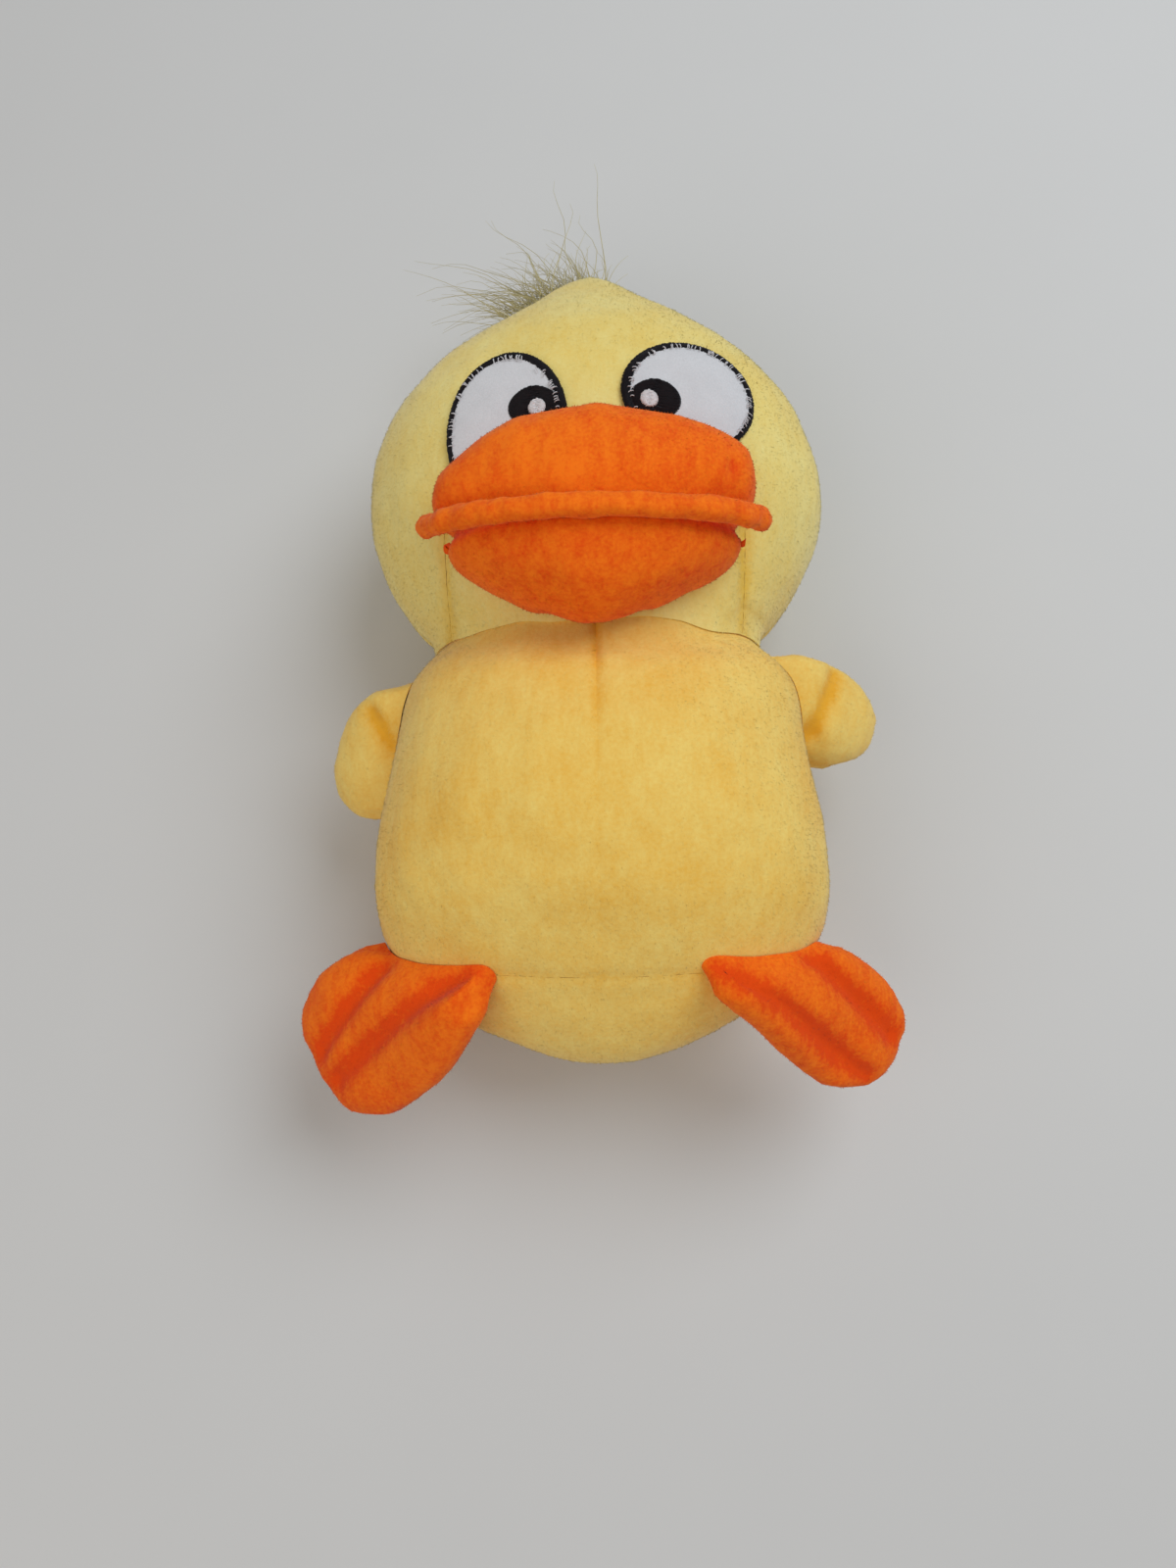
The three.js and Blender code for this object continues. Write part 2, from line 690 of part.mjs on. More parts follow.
function eye(side) {
  const oval = (grow) =>
    ovalBar(side, eyeHalfWidth + grow, eyeHalfHeight + grow, eyeApart, eyeAbove);
  const disc = (halfWidth, halfHeight, apart, above) =>
    ovalBar(side, halfWidth, halfHeight, apart, above);
  const cut = (layer, outline) => layer.intersect(outline).subtract(beakKeepOut);
  const [glintApart, glintHigh] = [pupilApart - glintInward, pupilAbove + glintAbove];
  return {
    white: cut(feltLayer, oval(0)),
    rim: cut(feltLayer, oval(eyeRim).subtract(oval(seamGap))),
    pupil: cut(pupilLayer, disc(pupilHalfWidth, pupilHalfHeight, pupilApart, pupilAbove)),
    glint: cut(glintLayer, disc(glintHalfWidth, glintHalfHeight, glintApart, glintHigh)),
  };
}

// Tuft: locks of long hair fanned out from a rolled root in the top seam of the head.
function tuft() {
  const middle = headForm.surface(1, 0);
  middle.y += tuftRootRadius - tuftRootSunk;
  middle.z -= tuftRootDrop;
  const across = ALONG_X.clone().multiplyScalar(tuftRootHalfWidth);
  const locks = Array.from({ length: tuftLocks }, (_, i) => {
    const share = 1 - (2 * i) / (tuftLocks - 1);
    const root = middle.clone().addScaledVector(across, -share);
    return lock(root, tuftLean + share * tuftSpread, 1 - lockShorterShare * share * share);
  });
  const [from, to] = [middle.clone().sub(across), middle.clone().add(across)];
  return union([bar(from, to, tuftRootRadius, rollSides), ...locks]).subtract(faceKeepOut);
}

// One tapering lock that leaves its root at an angle from the head's line and sags to its tip.
function lock(root, lean, lengthShare) {
  const length = tuftLength * lengthShare;
  const out = new THREE.Vector3(-Math.sin(lean), Math.cos(lean), 0);
  const across = new THREE.Vector3(Math.cos(lean), Math.sin(lean), 0);
  const centreAt = (share) =>
    root.clone().addScaledVector(out, length * share).addScaledVector(UP, -lockSagShare * length * share * share);
  const points = [];
  for (let ring = 1; ring < lockRings; ring++) {
    const share = (ring - 1) / (lockRings - 2);
    const radius = lockRadius * (1 - (1 - lockTipShare) * share * share);
    for (let side = 0; side < lockSides; side++) {
      const angle = (2 * Math.PI * side) / lockSides;
      points.push(
        centreAt(share)
          .addScaledVector(across, radius * Math.cos(angle))
          .addScaledVector(UP, radius * Math.sin(angle)),
      );
    }
  }
  const end = centreAt(1).addScaledVector(out, lockRadius);
  return solidFromRings([root, ...points, end], lockSides, lockRings);
}

// Materials
function fabric(colour, roughness = 0.95) {
  return new THREE.MeshStandardMaterial({ color: colour, roughness, metalness: 0 });
}
const yellowPlush = fabric("#f3d465");
const orangePlush = fabric("#fb7a12");
const whiteFelt = fabric("#e9e8ec");
const blackThread = fabric("#17141b", 0.6);
const fibre = fabric("#f4f2ec");
const hair = fabric("#d9cc9a", 0.7);

// Pieces
const duck = new THREE.Group();

function place(solid, name, material) {
  duck.add(pieceFrom(solid, name, material));
}

function placeTorso() {
  const half = seamGap / 2;
  const sideSeam = torsoMiddle - sideSeamDrop;
  const up = new THREE.Vector3(0, Math.cos(baseSeamLean), Math.sin(baseSeamLean));
  const baseSeam = up.dot(new THREE.Vector3(0, -baseSeamBelow, baseSeamHeight));
  const above = torsoCover.trimByPlane(up.toArray(), baseSeam + half);
  const base = torsoCover.trimByPlane(up.negate().toArray(), half - baseSeam);
  const front = keepSide(above, 2, 1, sideSeam + half);
  place(keepSide(front, 0, 1, half), "belly_panel_left", yellowPlush);
  place(keepSide(front, 0, -1, -half), "belly_panel_right", yellowPlush);
  place(keepSide(above, 2, -1, sideSeam - half), "back_panel", yellowPlush);
  place(base, "base_panel", yellowPlush);
  place(torsoFilling, "torso_filling", fibre);
  place(neckPlug, "neck_filling", fibre);
}

function placeHead() {
  const half = seamGap / 2;
  const sideSeam = headMiddle - headSeamDrop;
  const front = keepSide(headCover, 2, 1, sideSeam + half);
  const rear = keepSide(headCover, 2, -1, sideSeam - half);
  const chinTop = headStart + beakUpperAbove;
  const chin = (grow) =>
    keepSide(
      keepSide(keepSide(front, 0, 1, -chinHalfWidth - grow), 0, -1, chinHalfWidth + grow),
      1, -1, chinTop + grow,
    );
  place(front.subtract(chin(half)), "face_panel", yellowPlush);
  place(chin(-half), "chin_panel", yellowPlush);
  place(keepSide(rear, 0, 1, half), "head_back_panel_left", yellowPlush);
  place(keepSide(rear, 0, -1, -half), "head_back_panel_right", yellowPlush);
  place(headFilling, "head_filling", fibre);
  place(tuft(), "hair_tuft", hair);
}

function placeBeak() {
  place(beakCover(beakOuter.upper, 1), "beak_upper_cover", orangePlush);
  place(beakCover(beakOuter.lower, -1), "beak_lower_cover", orangePlush);
  place(lip, "beak_lip", orangePlush);
  place(beakFilling, "beak_filling", fibre);
}

function placeEye(side, name) {
  const { white, rim, pupil, glint } = eye(side);
  place(white, `${name}_eye_white`, whiteFelt);
  place(rim, `${name}_eye_rim`, blackThread);
  place(pupil, `${name}_eye_pupil`, blackThread);
  place(glint, `${name}_eye_glint`, whiteFelt);
}

// Splits a limb's cover along its edge seam into an upper and a lower piece.
function placeLimb({ cover, core, facing, place: at }, upperName, lowerName, fillingName, material) {
  const seam = facing.dot(at);
  const upper = cover.trimByPlane(facing.toArray(), seam + seamGap / 2);
  const lower = cover.trimByPlane(facing.clone().negate().toArray(), -seam + seamGap / 2);
  place(upper, upperName, material);
  place(lower, lowerName, material);
  place(core, fillingName, fibre);
}

placeTorso();
placeHead();
placeBeak();
placeEye(1, "left");
placeEye(-1, "right");
placeLimb(leftWing, "left_wing_front", "left_wing_back", "left_wing_filling", yellowPlush);
placeLimb(rightWing, "right_wing_front", "right_wing_back", "right_wing_filling", yellowPlush);
placeLimb(leftFoot, "left_foot_top", "left_foot_sole", "left_foot_filling", orangePlush);
placeLimb(rightFoot, "right_foot_top", "right_foot_sole", "right_foot_filling", orangePlush);

// Hinge lines, for whoever poses the toy.
duck.userData.hinges = {
  neck: { place: neckPivot, nodAxis: ALONG_X, turnAxis: neckAxis },
  leftWing: leftWing.hinge,
  rightWing: rightWing.hinge,
  leftFoot: leftFoot.hinge,
  rightFoot: rightFoot.hinge,
};

export default duck;
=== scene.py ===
"""The looks of the plush duck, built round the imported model: covers with pile, eyes, hair and filling.

Metres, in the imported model's frame: +Z out of the belly, +Y to the head, +X to the duck's own left hand.
"""

import json
import math
from contextlib import contextmanager

import bmesh
import bpy
import numpy as np
from bpy.props import FloatProperty, FloatVectorProperty, IntProperty, PointerProperty
from mathutils import Matrix, Vector, noise
from mathutils.bvhtree import BVHTree


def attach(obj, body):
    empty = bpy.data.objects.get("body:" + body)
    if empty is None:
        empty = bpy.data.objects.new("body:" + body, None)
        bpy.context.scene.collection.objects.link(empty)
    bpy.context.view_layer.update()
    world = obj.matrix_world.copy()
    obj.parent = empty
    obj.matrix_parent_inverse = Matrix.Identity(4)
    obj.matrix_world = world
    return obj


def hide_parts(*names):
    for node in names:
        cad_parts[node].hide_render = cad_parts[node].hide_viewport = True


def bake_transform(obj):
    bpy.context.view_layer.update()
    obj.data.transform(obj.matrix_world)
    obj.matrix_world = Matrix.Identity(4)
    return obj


bl_info = {
    "name": "Plush duck",
    "version": (1, 0, 0),
    "blender": (4, 5, 0),
    "location": "View3D > Sidebar > Duck",
    "description": "Builds a plush duck lying on its back, round its packed model",
    "category": "Add Mesh",
}

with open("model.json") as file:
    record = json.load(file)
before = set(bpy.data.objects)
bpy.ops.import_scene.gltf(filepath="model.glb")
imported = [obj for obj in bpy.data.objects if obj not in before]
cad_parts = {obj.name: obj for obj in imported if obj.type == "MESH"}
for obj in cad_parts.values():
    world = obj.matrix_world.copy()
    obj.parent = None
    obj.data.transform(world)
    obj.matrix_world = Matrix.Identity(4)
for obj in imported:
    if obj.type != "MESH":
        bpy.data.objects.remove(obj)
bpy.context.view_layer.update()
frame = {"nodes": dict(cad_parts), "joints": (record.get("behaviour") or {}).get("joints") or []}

MM = 0.001

# Where the covers are sewn together, in millimetres and radians
TORSO_SIDE_SEAM = 39.9
HEAD_SIDE_SEAM = 40.3
BASE_SEAM_PLACE = (0, -49, 70)
BASE_SEAM_LEAN = math.radians(24)
CHIN_HALF_WIDTH = 38
CHIN_TOP = 69
BEAK_SPLIT = 55.25
SEAM_HALF_GAP = 0.05

# The neck, in millimetres and radians: its ball, the cut round it and the filling that passes through it
NECK_PIVOT = (0, 36, 42)
NECK_TILT = math.radians(16.5)
NECK_HALF_WIDTH = 43
NECK_RADIUS = 36.5
NECK_CUT_ALONG = 6
NECK_CUT_SLOPE = 0.17
NECK_BLEND = (4, 26)
TORSO_PLUG_RADIUS = 18
TORSO_PLUG_ENDS = (-26, 34)
HEAD_PLUG_RADIUS = 22
HEAD_PLUG_END = 52

# The pile lies down towards the feet
DOWN_BODY = (0.0, -1.0, 0.0)

CLOTH_STEPS = 15
CLOTH_PRESSURE = 60.0
MOST_VALLEY = 1.5


def length_property(name, description, millimetres):
    return FloatProperty(name=name, description=description, default=millimetres * MM, unit="LENGTH")


class DuckSizes(bpy.types.PropertyGroup):
    """Sizes of the cloth, its pile, its seams and the hair."""

    cloth: length_property("Cloth", "Thickness of the cloth without its pile", 1.3)
    body_voxel: length_property("Body remesh", "Mesh size of the torso and head before stuffing", 4)
    limb_voxel: length_property("Limb remesh", "Mesh size of the beak, wings and feet before stuffing", 2.2)
    puff: length_property("Puff", "The most that the filling pushes a cover out", 2.0)
    seam_depth: length_property("Seam depth", "How far a seam is drawn in", 0.9)
    seam_width: length_property("Seam width", "Half width of the valley along a seam", 1.8)
    pile_length: length_property("Pile length", "Length of the pile's fibres", 0.8)
    pile_width: length_property("Pile width", "Width of a tuft of pile at its root", 0.24)
    pile_per_cm2: IntProperty(
        name="Pile density", description="Tufts of pile on a square centimetre", default=120
    )
    stitch_width: length_property("Stitch width", "Width of one stitch of embroidery thread", 0.36)
    strands: IntProperty(
        name="Strands of hair", description="Strands in the tuft on the head", default=480
    )


def colour_property(name, description, default):
    return FloatVectorProperty(
        name=name, description=description, default=default, subtype="COLOR", size=3, min=0, max=1
    )


class DuckColours(bpy.types.PropertyGroup):
    """Colours of the pile, the eyes, the hair, the filling and the floor."""
    yellow: colour_property("Yellow", "Tips of the torso's and wings' pile", (0.92, 0.68, 0.19))
    # The deep colours are random mottling, and also painted shade at the pile's roots, on the cloth between
    # tufts and in seams and creases.
    deep_yellow: colour_property("Deep yellow", "Roots of that pile", (0.84, 0.42, 0.03))
    # Painted light: the head's pile is a copy of the yellow pile, painted paler and greener for the cool
    # light that falls on the head.
    lit_pale_yellow: colour_property("Pale yellow", "Tips of the head's pile", (0.88, 0.76, 0.29))
    lit_pale_roots: colour_property("Pale roots", "Roots of the head's pile", (0.80, 0.52, 0.07))
    orange: colour_property("Orange", "Tips of the beak's and feet's pile", (1.0, 0.20, 0.006))
    deep_orange: colour_property("Deep orange", "Roots of that pile", (0.82, 0.07, 0.001))
    white: colour_property("White", "Felt of the eyes", (0.70, 0.70, 0.74))
    black: colour_property("Black", "Embroidery thread", (0.005, 0.004, 0.006))
    hair: colour_property("Hair", "Long pile of the tuft", (0.62, 0.54, 0.25))
    fibre: colour_property("Fibre", "Polyester filling", (0.80, 0.79, 0.76))
    floor: colour_property("Floor", "The pale floor", (0.62, 0.62, 0.63))


# Selecting and shaping


def only(obj):
    """Makes obj the one selected and active object."""
    bpy.ops.object.select_all(action="DESELECT")
    obj.select_set(True)
    bpy.context.view_layer.objects.active = obj


def apply_modifier(obj, kind, **settings):
    only(obj)
    modifier = obj.modifiers.new(kind.lower(), kind)
    for name, value in settings.items():
        setattr(modifier, name, value)
    bpy.ops.object.modifier_apply(modifier=modifier.name)


@contextmanager
def editing(obj, action="SELECT"):
    """Edit mode on one object, with all of it or nothing selected."""
    only(obj)
    bpy.ops.object.mode_set(mode="EDIT")
    bpy.ops.mesh.select_all(action=action)
    yield
    bpy.ops.object.mode_set(mode="OBJECT")


def read_vectors(parts, key):
    """Three numbers for each part of a mesh, such as the places of its vertices."""
    flat = np.empty(len(parts) * 3, np.float32)
    parts.foreach_get(key, flat)
    return flat.reshape(-1, 3).astype(float)


def read_indices(parts, key, width):
    """The numbers of the vertices at each part of a mesh, such as the two at each edge."""
    flat = np.empty(len(parts) * width, np.int32)
    parts.foreach_get(key, flat)
    return flat.reshape(-1, width)


def coordinates(obj):
    return read_vectors(obj.data.vertices, "co")


def set_coordinates(obj, places):
    obj.data.vertices.foreach_set("co", places.astype(np.float32).ravel())
    obj.data.update()


def normals(obj):
    return read_vectors(obj.data.vertices, "normal")


def face_middles(obj):
    return read_vectors(obj.data.polygons, "center")


def face_directions(obj):
    return read_vectors(obj.data.polygons, "normal")


def ramp(value, width):
    """Rises from 0 to 1 while a value in metres goes from 0 to a width in millimetres."""
    return np.clip(value / (width * MM), 0, 1)


def softened(share):
    """A ramp that starts and ends gently."""
    return share * share * (3 - 2 * share)


def hump(value, width):
    """1 where a value in metres is 0, fading to both sides over a width in millimetres."""
    return np.exp(-((value / (width * MM)) ** 2))


def placed(name, data):
    """A new object in the scene that holds a mesh, a curve, a light or a camera."""
    made = bpy.data.objects.new(name, data)
    bpy.context.scene.collection.objects.link(made)
    return made


def joined(name, pieces):
    """Several objects made one."""
    bpy.ops.object.select_all(action="DESELECT")
    for piece in pieces:
        piece.select_set(True)
    bpy.context.view_layer.objects.active = pieces[0]
    if len(pieces) > 1:
        bpy.ops.object.join()
    made = bpy.context.view_layer.objects.active
    made.name = made.data.name = name
    return made


def merged_copy(name, nodes):
    """One object that holds copies of some CAD nodes, with their loose triangles merged."""
    copies = []
    for node in nodes:
        copy = frame["nodes"][node].copy()
        copy.data = copy.data.copy()
        copy.parent = None
        for key in list(copy.keys()):
            del copy[key]
        bpy.context.scene.collection.objects.link(copy)
        copy.hide_render = copy.hide_viewport = False
        copies.append(copy)
    made = joined(name, copies)
    with editing(made):
        bpy.ops.mesh.remove_doubles(threshold=1e-6)
    return made


def stuff(obj, cap, held):
    """Blows a closed cover up a little with a cloth simulation; held vertices stay where they are."""
    group = obj.vertex_groups.new(name="held")
    group.add([int(i) for i in np.flatnonzero(held)], 1.0, "REPLACE")
    cloth = obj.modifiers.new("cloth", "CLOTH")
    settings = cloth.settings
    settings.quality = 4
    settings.mass = 0.1
    settings.use_pressure = True
    settings.uniform_pressure_force = CLOTH_PRESSURE
    settings.vertex_group_mass = "held"
    settings.effector_weights.gravity = 0
    rest = coordinates(obj)
    for step in range(1, CLOTH_STEPS + 1):
        bpy.context.scene.frame_set(step)
    evaluated = obj.evaluated_get(bpy.context.evaluated_depsgraph_get())
    blown = coordinates(evaluated)
    obj.modifiers.remove(cloth)
    obj.vertex_groups.remove(group)
    bpy.context.scene.frame_set(1)
    move = blown - rest
    length = np.linalg.norm(move, axis=1, keepdims=True)
    set_coordinates(obj, rest + move * np.tanh(length / cap) * cap / np.maximum(length, 1e-9))


def skin_of(name, nodes, voxel, cap, held_near, levels):
    """The smooth stuffed surface round some CAD nodes. held_near gives the distance to what holds it in."""
    skin = merged_copy(name, nodes)
    apply_modifier(skin, "REMESH", mode="VOXEL", voxel_size=voxel)
    keep_largest(skin)
    apply_modifier(skin, "SMOOTH", factor=0.5, iterations=6)
    places = coordinates(skin)
    stuff(skin, cap, held_near(places) < 1.2 * voxel)
    apply_modifier(skin, "SMOOTH", factor=0.5, iterations=3)
    apply_modifier(skin, "SUBSURF", levels=levels, render_levels=levels)
    places = coordinates(skin)
    places[:, 2] = np.maximum(places[:, 2], 0)
    set_coordinates(skin, places)
    return skin


def keep_largest(obj):
    """Drops the small closed bodies that a remesh leaves in hollows."""
    graph = bmesh.new()
    graph.from_mesh(obj.data)
    graph.verts.ensure_lookup_table()
    islands, seen = [], set()
    for start in graph.verts:
        if start.index in seen:
            continue
        seen.add(start.index)
        island, queue = [], [start]
        while queue:
            vertex = queue.pop()
            island.append(vertex)
            for edge in vertex.link_edges:
                other = edge.other_vert(vertex)
                if other.index not in seen:
                    seen.add(other.index)
                    queue.append(other)
        islands.append(island)
    islands.sort(key=len, reverse=True)
    for island in islands[1:]:
        bmesh.ops.delete(graph, geom=island, context="VERTS")
    graph.to_mesh(obj.data)
    graph.free()


def float_attribute(obj, name, values):
    attribute = obj.data.attributes.get(name) or obj.data.attributes.new(name, "FLOAT", "POINT")
    attribute.data.foreach_set("value", np.asarray(values, np.float32))


def read_attribute(obj, name):
    values = np.zeros(len(obj.data.vertices), np.float32)
    if name in obj.data.attributes:
        obj.data.attributes[name].data.foreach_get("value", values)
    return values.astype(float)


def press(obj, distance, depth, width):
    """Draws a surface in along a line or a seam. distance and depth are given at each vertex."""
    share = np.exp(-((distance / width) ** 2)) * depth
    set_coordinates(obj, coordinates(obj) - normals(obj) * share[:, None])
    # The depth drawn in is also kept as the valley attribute, which the pile's material paints as shade: a
    # deeper colour in seams and creases.
    valley = read_attribute(obj, "valley") + share / (1 * MM)
    float_attribute(obj, "valley", np.minimum(valley, MOST_VALLEY))


def roughen(obj, lumps):
    """Uneven filling moves a surface in and out. Each lump has a size and a height in mm, and a seed."""
    for size, height, seed in lumps:
        places = coordinates(obj)
        shift = Vector((seed * 7.3, seed * 3.1, seed * 5.7))
        lift = np.array([noise.noise(Vector(place) / (size * MM) + shift) for place in places])
        off_floor = ramp(places[:, 2], 4)
        set_coordinates(obj, places + normals(obj) * (lift * (height * MM) * off_floor)[:, None])


def to_line(places, line):
    """Distance from each place to a line of points in millimetres."""
    points = np.array(line, float) * MM
    best = np.full(len(places), np.inf)
    for start, end in zip(points[:-1], points[1:]):
        along = end - start
        share = np.clip(((places - start) @ along) / (along @ along), 0, 1)
        best = np.minimum(best, np.linalg.norm(places - start - share[:, None] * along, axis=1))
    return best


# Seams, as signed distances in metres from places in metres


def beyond(places, point, direction):
    return (places - np.array(point) * MM) @ (np.array(direction) / np.linalg.norm(direction))


NECK_AXIS = np.array((0, math.cos(NECK_TILT), math.sin(NECK_TILT)))
BASE_SEAM_UP = (0, math.cos(BASE_SEAM_LEAN), math.sin(BASE_SEAM_LEAN))


def above_base(places):
    return beyond(places, BASE_SEAM_PLACE, BASE_SEAM_UP)


def along_neck(places):
    return beyond(places, NECK_PIVOT, NECK_AXIS)


def from_neck_axis(places):
    offset = places - np.array(NECK_PIVOT) * MM
    along = offset @ NECK_AXIS
    return np.linalg.norm(offset - along[:, None] * NECK_AXIS, axis=1)


def in_slit(distance):
    """True in the narrow slit that is cut out along a seam."""
    return np.abs(distance) < SEAM_HALF_GAP * MM


# Covers


def cut_along(obj, planes, gap):
    """Cuts a surface on both sides of each seam's plane."""
    with editing(obj):
        for point, direction in planes:
            for side in (-0.5, 0.5) if gap else (0,):
                shifted = Vector(point) * MM + Vector(direction).normalized() * side * gap
                bpy.ops.mesh.select_all(action="SELECT")
                bpy.ops.mesh.bisect(plane_co=shifted, plane_no=direction)


def keep_faces(obj, kept):
    """Deletes the faces that a cover doesn't keep, and what they leave loose."""
    with editing(obj, "DESELECT"):
        bpy.ops.mesh.select_mode(type="FACE")
    obj.data.polygons.foreach_set("select", ~kept)
    bpy.ops.object.mode_set(mode="EDIT")
    bpy.ops.mesh.delete(type="FACE")
    bpy.ops.mesh.select_all(action="SELECT")
    bpy.ops.mesh.delete_loose()
    bpy.ops.object.mode_set(mode="OBJECT")


def copy_of(obj, name):
    copy = obj.copy()
    copy.data = obj.data.copy()
    copy.name = copy.data.name = name
    bpy.context.scene.collection.objects.link(copy)
    return copy


def drop(obj):
    bpy.data.meshes.remove(obj.data)


def paint(obj, material):
    obj.data.materials.clear()
    obj.data.materials.append(material)


def settle(piece, nodes, body):
    """Hides the CAD nodes a finished piece stands for, and hangs it on the body it moves with; a piece given
    a crossing between two bodies only has its place fixed.
    """
    if nodes:
        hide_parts(*nodes)
    if isinstance(body, str):
        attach(piece, body)
    else:
        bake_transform(piece)


def sew(skin, planes, panels, body, finish, nap, seed, bare=None):
    """Cuts a skin into its panels. Each becomes a closed piece of cloth with a piece of pile on it."""
    cloth = bpy.context.scene.duck_sizes.cloth
    cut_along(skin, planes, 2 * SEAM_HALF_GAP * MM)
    middles = face_middles(skin)
    for turn, (name, node, belongs) in enumerate(panels):
        panel = copy_of(skin, name)
        keep_faces(panel, belongs(middles))
        pile = pile_on(panel, name + "_pile", nap, seed + turn, bare)
        apply_modifier(panel, "SOLIDIFY", thickness=cloth, offset=-1, use_even_offset=False, use_rim=True)
        finish_smooth(panel)
        paint(panel, finish)
        paint(pile, finish)
        settle(panel, [node], body)
        settle(pile, [], body)
    drop(skin)


def finish_smooth(obj, angle=60):
    only(obj)
    bpy.ops.object.shade_smooth_by_angle(angle=math.radians(angle))


def mesh_object(name, vertices, triangles):
    mesh = bpy.data.meshes.new(name)
    mesh.vertices.add(len(vertices))
    mesh.vertices.foreach_set("co", vertices.astype(np.float32).ravel())
    mesh.loops.add(len(triangles) * 3)
    mesh.loops.foreach_set("vertex_index", triangles.astype(np.int32).ravel())
    mesh.polygons.add(len(triangles))
    mesh.polygons.foreach_set("loop_start", np.arange(0, 3 * len(triangles), 3, dtype=np.int32))
    mesh.update(calc_edges=True)
    return placed(name, mesh)


def unit(vectors):
    return vectors / np.maximum(np.linalg.norm(vectors, axis=1, keepdims=True), 1e-12)


# The pile: how much the tufts differ, how deep they stand in the cloth and how unevenly they catch the light
PILE_LEAN_SCATTER = 0.3
PILE_LIFTS = (0.3, 0.75)
PILE_LENGTHS = (0.6, 1.15)
PILE_WIDTHS = (0.7, 1.2)
PILE_SINK = 0.25
PILE_SHADE_ALONG = 0.15
PILE_SHADE_SCATTER = 0.18
SPIKE = np.array([(0, 2, 1), (0, 1, 3), (1, 2, 3), (2, 0, 3)])


def pile_on(panel, name, nap, seed, bare=None):
    """Tufts over a panel's outer face: narrow closed spikes along the nap. bare says where none grow."""
    sizes = bpy.context.scene.duck_sizes
    rng = np.random.default_rng(seed)
    mesh = panel.data
    mesh.calc_loop_triangles()
    corners = read_indices(mesh.loop_triangles, "vertices", 3)
    places = coordinates(panel)
    outward = normals(panel)
    valley = read_attribute(panel, "valley")
    a, b, c = (places[corners[:, i]] for i in range(3))
    area = np.linalg.norm(np.cross(b - a, c - a), axis=1) / 2
    density = sizes.pile_per_cm2 * 1
    count = int(area.sum() * 1e4 * density)
    chosen = rng.choice(len(area), count, p=area / area.sum())
    u, v = rng.random(count), rng.random(count)
    u, v = np.where(u + v > 1, 1 - u, u), np.where(u + v > 1, 1 - v, v)
    shares = np.stack([1 - u - v, u, v], 1)
    corner = corners[chosen]
    root = np.einsum("ij,ijk->ik", shares, places[corner])
    normal = unit(np.einsum("ij,ijk->ik", shares, outward[corner]))
    deep = np.einsum("ij,ij->i", shares, valley[corner])
    if bare is not None:
        grows = ~bare(root)
        root, normal, deep, count = root[grows], normal[grows], deep[grows], int(grows.sum())
    lie = nap(root) + PILE_LEAN_SCATTER * rng.normal(size=(count, 3))
    lie = unit(lie - np.einsum("ij,ij->i", lie, normal)[:, None] * normal)
    across = np.cross(normal, lie)
    lift = rng.uniform(*PILE_LIFTS, count)[:, None]
    length = (sizes.pile_length * rng.uniform(*PILE_LENGTHS, count))[:, None]
    width = (sizes.pile_width * rng.uniform(*PILE_WIDTHS, count))[:, None]
    foot = root - normal * PILE_SINK * MM
    tip = root + unit(lie + normal * lift) * length
    vertices = np.stack([foot + across * width / 2, foot - across * width / 2, foot + lie * width, tip], 1)
    vertices[:, :, 2] = np.maximum(vertices[:, :, 2], 0)
    triangles = (np.arange(count)[:, None, None] * 4 + SPIKE).reshape(-1, 3)
    pile = mesh_object(name, vertices.reshape(-1, 3), triangles)
    shaded = unit(normal + PILE_SHADE_ALONG * lie + PILE_SHADE_SCATTER * rng.normal(size=(count, 3)))
    pile.data.normals_split_custom_set_from_vertices(np.repeat(shaded, 4, axis=0))
    # Painted shade: each tuft takes the deep colour at its root and in the creases under it, less at its tip.
    float_attribute(pile, "tip", np.tile((0.0, 0.0, 0.0, 1.0), count))
    float_attribute(pile, "valley", np.repeat(deep, 4))
    pile.visible_shadow = False
    lay_out(pile)
    return pile


def lay_out(obj):
    """A texture layout seen straight from the front, so that each tuft keeps its own place in it."""
    places = coordinates(obj)[:, :2]
    low, high = places.min(0), places.max(0)
    share = (places - low) / (high - low) * 0.98 + 0.01
    loops = read_indices(obj.data.loops, "vertex_index", 1)[:, 0]
    layer = obj.data.uv_layers.new(name="OFBake")
    layer.data.foreach_set("uv", share[loops].astype(np.float32).ravel())


# Materials


class Value:
    """A number in a material; arithmetic on it adds Math nodes."""

    def __init__(self, finish, socket):
        self.finish = finish
        self.socket = socket

    def _math(self, operation, *parts):
        return self.finish.add("ShaderNodeMath", {"operation": operation}, dict(enumerate(parts)))

    def __add__(self, other):
        return self._math("ADD", self, other)

    def __sub__(self, other):
        return self._math("SUBTRACT", self, other)

    def __rsub__(self, other):
        return self._math("SUBTRACT", other, self)

    def __mul__(self, other):
        return self._math("MULTIPLY", self, other)

    def __pow__(self, other):
        return self._math("POWER", self, other)

    def limited(self):
        return self.finish.add("ShaderNodeClamp", {}, {0: self})

    __radd__ = __add__
    __rmul__ = __mul__


